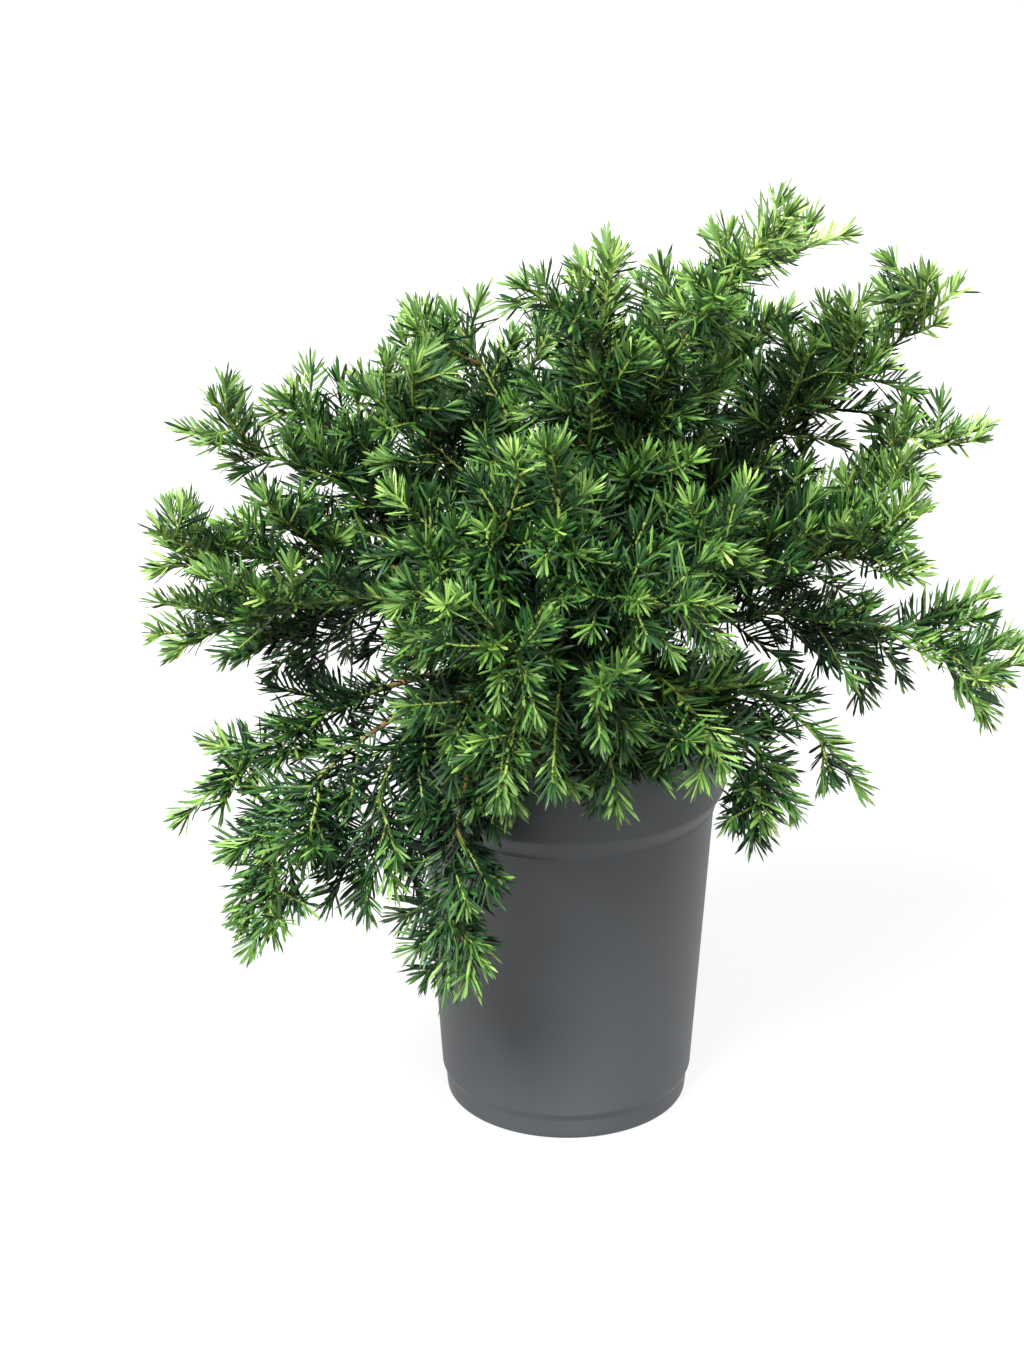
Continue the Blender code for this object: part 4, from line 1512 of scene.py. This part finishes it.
@dataclass
class Pot:
    """The nursery pot: a tapered cup with a foot band, a thin ring and a wide collar.

    Attributes:
        sides: Points in a ring.
        edge: Radius of its small rounded edges.
        bead: How far the ring under the collar stands out.
        foot_draft: How far the foot narrows to its rounded lower edge.
        foot_swell: How far under the solid's step the foot begins to widen to the wall.
    """

    sides: int = 256
    edge: float = 0.0013
    bead: float = 0.0009
    foot_draft: float = 0.0012
    foot_swell: float = 0.0060

    def build(self) -> list[bpy.types.Object]:
        """Turns the pot.

        Returns:
            The new piece.
        """
        mesh = turned(self.profile(), self.sides, "nursery_pot")
        return [show("nursery_pot", mesh, [POT_PLASTIC.material()], ["pot"])]

    def profile(self) -> np.ndarray:
        """The profile from the middle of the underside up the outer side, over the rim and down inside.

        Returns:
            Rows of (radius, height).
        """
        e = self.edge
        foot_top = (FOOT_RADIUS - 0.0004, FOOT_HEIGHT - self.foot_swell)
        wall_low = (FOOT_RADIUS + FOOT_STEP, FOOT_HEIGHT + 0.0006)
        wall_top = (RING_RADIUS - 0.0002, RING_HEIGHT - 0.0008)
        ring = (RING_RADIUS, RING_HEIGHT + 0.0004)
        slope_low = (RING_RADIUS + self.bead, RING_HEIGHT + 0.0008)
        outer = [
            (0.0, 0.0),
            (FOOT_RADIUS * 0.5, 0.0),
            *arc((FOOT_RADIUS - 2 * e - self.foot_draft, 2 * e), 2 * e, -90, -4),
            *swell(foot_top, wall_low),
            wall_low,
            wall_top,
            *arc(ring, self.bead, -70, 0),
            *swell(slope_low, (RIM_RADIUS, COLLAR_LOW + 0.003)),
            (RIM_RADIUS, (COLLAR_LOW + POT_HEIGHT) / 2),
            *arc((RIM_RADIUS - e, POT_HEIGHT - e), e, 0, 180, 12),
        ]
        inner = [
            (RIM_RADIUS - WALL, COLLAR_LOW + 0.0015),
            (RING_RADIUS - WALL, RING_HEIGHT),
            (FOOT_RADIUS - WALL, FLOOR + 0.0015),
            (FOOT_RADIUS - WALL - 0.0015, FLOOR),
            (0.0, FLOOR),
        ]
        return np.array(outer + inner)


@dataclass(frozen=True)
class Litter:
    """One kind of small pieces that lie on the growing medium.

    Attributes:
        name: Name of the piece that joins them.
        count: How many there are.
        lengths: Shortest and longest length.
        widths: Smallest and largest width.
        tilt: Standard deviation of their slope.
        shape: Outline of one.
    """

    name: str
    count: int
    lengths: tuple[float, float]
    widths: tuple[float, float]
    tilt: float
    shape: BladeShape


CHIPS = Litter(
    name="bark_chips",
    count=1500,
    lengths=(0.004, 0.013),
    widths=(0.0018, 0.0045),
    tilt=0.18,
    shape=BladeShape((0.08, 0.45, 0.9), (0.75, 1.0, 0.8), 0.30),
)
STRANDS = Litter(
    name="coir_strands",
    count=700,
    lengths=(0.010, 0.026),
    widths=(0.0004, 0.0008),
    tilt=0.30,
    shape=BladeShape((0.1, 0.5, 0.9), (0.8, 1.0, 0.8), 0.8),
)


@dataclass
class GrowingMedium:
    """The growing medium: a crumbly surface, with bark chips and coir strands lying on it.

    Attributes:
        sides: Points in a ring of the surface.
        rings: Rings of the surface.
        gap: Distance that it keeps from the pot's inner side.
        crumb: Height of the crumbs.
        crumbs: Noise of the crumbs.
        inner_gap: Distance that the litter keeps from the pot's inner side.
        lift: Most that the litter lies over the surface.
        face_chance: Standard deviation of the direction that its upper side faces.
        bend_chance: Standard deviation of its bend.
        tint: Middle finish of the litter, and its standard deviation.
    """

    sides: int = 256
    rings: int = 70
    gap: float = 0.0003
    crumb: float = 0.0012
    crumbs: Ripple = field(default_factory=lambda: Ripple(0.0065, 8, 48))
    inner_gap: float = 0.001
    lift: float = 0.0016
    face_chance: float = 0.35
    bend_chance: float = 0.12
    tint: tuple[float, float] = (2.4, 1.1)

    def build(self) -> list[bpy.types.Object]:
        """Makes the surface and all that lies on it.

        Returns:
            The new pieces.
        """
        radii = np.linspace(0, RIM_RADIUS - WALL - self.gap, self.rings)
        top = np.stack([radii, self.height(radii)], 1)
        low = [
            (0.0, FLOOR + 0.001),
            (FOOT_RADIUS - WALL - 0.001, FLOOR + 0.002),
            (RING_RADIUS - WALL - self.gap, RING_HEIGHT),
        ]
        depth = np.concatenate([np.zeros(len(low)), np.full(len(top), self.crumb)])
        name = "growing_medium_surface"
        mesh = turned(np.concatenate([low, top[::-1]]), self.sides, name, self.crumbs, depth)
        pieces = [show(name, mesh, [SOIL.material()], ["growing_medium"])]
        finishes = [finish.material() for finish in CHIP_FINISHES]
        rng = np.random.default_rng(SEED)
        for litter in (CHIPS, STRANDS):
            mesh = self.scattered(litter, rng).mesh(litter.name, litter.shape)
            pieces.append(show(litter.name, mesh, finishes, ["growing_medium"]))
        return pieces

    @staticmethod
    def height(radii: np.ndarray) -> np.ndarray:
        """Height of the surface, a low heap that falls towards the pot's wall.

        Args:
            radii: Distances from the axis.

        Returns:
            The heights.
        """
        return np.interp(
            radii,
            (0, 0.020, 0.045, 0.070, RIM_RADIUS),
            (SOIL_TOP, SOIL_TOP, SOIL_TOP - 0.0008, SOIL_EDGE + 0.0012, SOIL_EDGE),
        )

    def scattered(self, litter: Litter, rng: np.random.Generator) -> Blades:
        """Litter that lies scattered over the surface, evenly by area.

        Args:
            litter: Its kind.
            rng: Random draws.

        Returns:
            The litter as blades.
        """
        count = litter.count
        length, width = rng.uniform(*litter.lengths, count), rng.uniform(*litter.widths, count)
        room = RIM_RADIUS - WALL - self.inner_gap - length / 2
        radius = room * np.sqrt(rng.uniform(0.02, 1, count))
        turn, heading = rng.uniform(0, math.tau, (2, count))
        middles = np.stack([radius * np.cos(turn), radius * np.sin(turn), 0 * radius], 1)
        height = self.height(radius) + self.crumb * self.crumbs.at(middles)
        middles[:, 2] = height + rng.uniform(0.0, self.lift, count)
        ways = unit(np.stack([np.cos(heading), np.sin(heading), rng.normal(0, litter.tilt, count)], 1))
        faces = np.array((0.0, 0.0, 1.0)) + rng.normal(0, self.face_chance, (count, 3))
        bends = rng.normal(0, self.bend_chance, (count, 3))
        tints = np.clip(rng.normal(*self.tint, count), 0, len(CHIP_FINISHES) - 1).astype(int)
        roots = middles - ways * length[:, None] / 2
        return Blades(roots, ways, faces, bends, length, width, tints, tints)


@dataclass(frozen=True)
class Sun:
    """One soft light.

    Attributes:
        name: Its name.
        strength: Its strength.
        spread: How wide it is, in degrees.
        tilt: How far from straight down it shines, in degrees.
        heading: Which way round the Z axis it is turned, in degrees.
    """

    name: str
    strength: float
    spread: float
    tilt: float
    heading: float


@dataclass
class Studio:
    """Plain pale floor, soft light and the camera at the photograph's viewing angle.

    Attributes:
        floor_half: Half the floor's side.
        floor_drop: How far it lies under the pot.
        floor_grey: Its colour in screen values.
        floor_glow: Strength of its own light.
        room_light: Strength of the white room's light.
        suns: A key from the upper left in front, a softer fill from the right and a weak back light.
        eye: Place of the camera.
        pitch: How far the camera looks down, in degrees.
        focal_pixels: Focal length in pixels of the picture.
        picture: Width and height of the picture in pixels.
        sensor: Long side of the sensor, in millimetres.
        far: Distance that the camera sees.
    """

    floor_half: float = 40.0
    floor_drop: float = 0.0002
    floor_grey: int = 120
    floor_glow: float = 0.8
    room_light: float = 0.11
    suns: tuple[Sun, ...] = (
        Sun("Key", 8.0, 30, 38, -35),
        Sun("Fill", 2.2, 40, 42, 55),
        Sun("Back", 0.8, 50, 50, 150),
    )
    eye: tuple[float, float, float] = (-0.0305, -2.2, 1.213)
    pitch: float = 23.75
    focal_pixels: float = 4440.0
    picture: tuple[int, int] = (1024, 1366)
    sensor: float = 36.0
    far: float = 200.0

    def build(self) -> None:
        """Sets up floor, light and camera."""
        self.make_floor()
        self.make_lights()
        self.make_camera()
        bpy.context.scene.view_settings.view_transform = "Standard"

    def make_floor(self) -> None:
        """A wide pale floor just under the pot."""
        half, level = self.floor_half, -self.floor_drop
        corners = [(-half, -half, level), (half, -half, level), (half, half, level), (-half, half, level)]
        surface = Surface()
        surface.add(np.array(corners), (np.array([(0, 1, 2, 3)]), 0))
        mesh = surface.mesh("floor")
        material = PlainFinish("Pale floor", (self.floor_grey,) * 3, 0.9).material()
        shader = material.node_tree.nodes["Principled BSDF"]
        shader.inputs["Emission Color"].default_value = (1.0, 1.0, 1.0, 1.0)
        shader.inputs["Emission Strength"].default_value = self.floor_glow
        mesh.materials.append(material)
        floor = bpy.data.objects.new("floor", mesh)
        floor.visible_diffuse = False
        bpy.context.scene.collection.objects.link(floor)

    def make_lights(self) -> None:
        """A white room and the suns."""
        world = bpy.data.worlds.new("White room")
        world.use_nodes = True
        background = world.node_tree.nodes["Background"]
        background.inputs["Color"].default_value = (1.0, 1.0, 1.0, 1.0)
        background.inputs["Strength"].default_value = self.room_light
        bpy.context.scene.world = world
        for sun in self.suns:
            light = bpy.data.lights.new(sun.name, "SUN")
            light.energy = sun.strength
            light.angle = math.radians(sun.spread)
            lamp = bpy.data.objects.new(sun.name, light)
            lamp.rotation_euler = (math.radians(sun.tilt), 0.0, math.radians(sun.heading))
            bpy.context.scene.collection.objects.link(lamp)

    def make_camera(self) -> None:
        """The camera, level and without shift."""
        camera = bpy.data.cameras.new("Camera")
        camera.sensor_width = self.sensor
        camera.lens = self.sensor * self.focal_pixels / max(self.picture)
        camera.clip_end = self.far
        holder = bpy.data.objects.new("Camera", camera)
        holder.location = self.eye
        holder.rotation_euler = (math.radians(90 - self.pitch), 0.0, 0.0)
        bpy.context.scene.collection.objects.link(holder)
        bpy.context.scene.camera = holder


def main() -> None:
    """Builds every sub-assembly, then the studio."""
    logging.basicConfig(level=logging.INFO, format="%(name)s: %(message)s")
    total = 0
    for assembly in (Pot(), GrowingMedium(), Wood(), Crown()):
        for piece in assembly.build():
            triangles = len(piece.data.loops) - 2 * len(piece.data.polygons)
            total += triangles
            log.info("%s: %d triangles", piece.name, triangles)
    log.info("all pieces: %d triangles", total)
    Studio().build()
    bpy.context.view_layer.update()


if __name__ == "__main__":
    main()
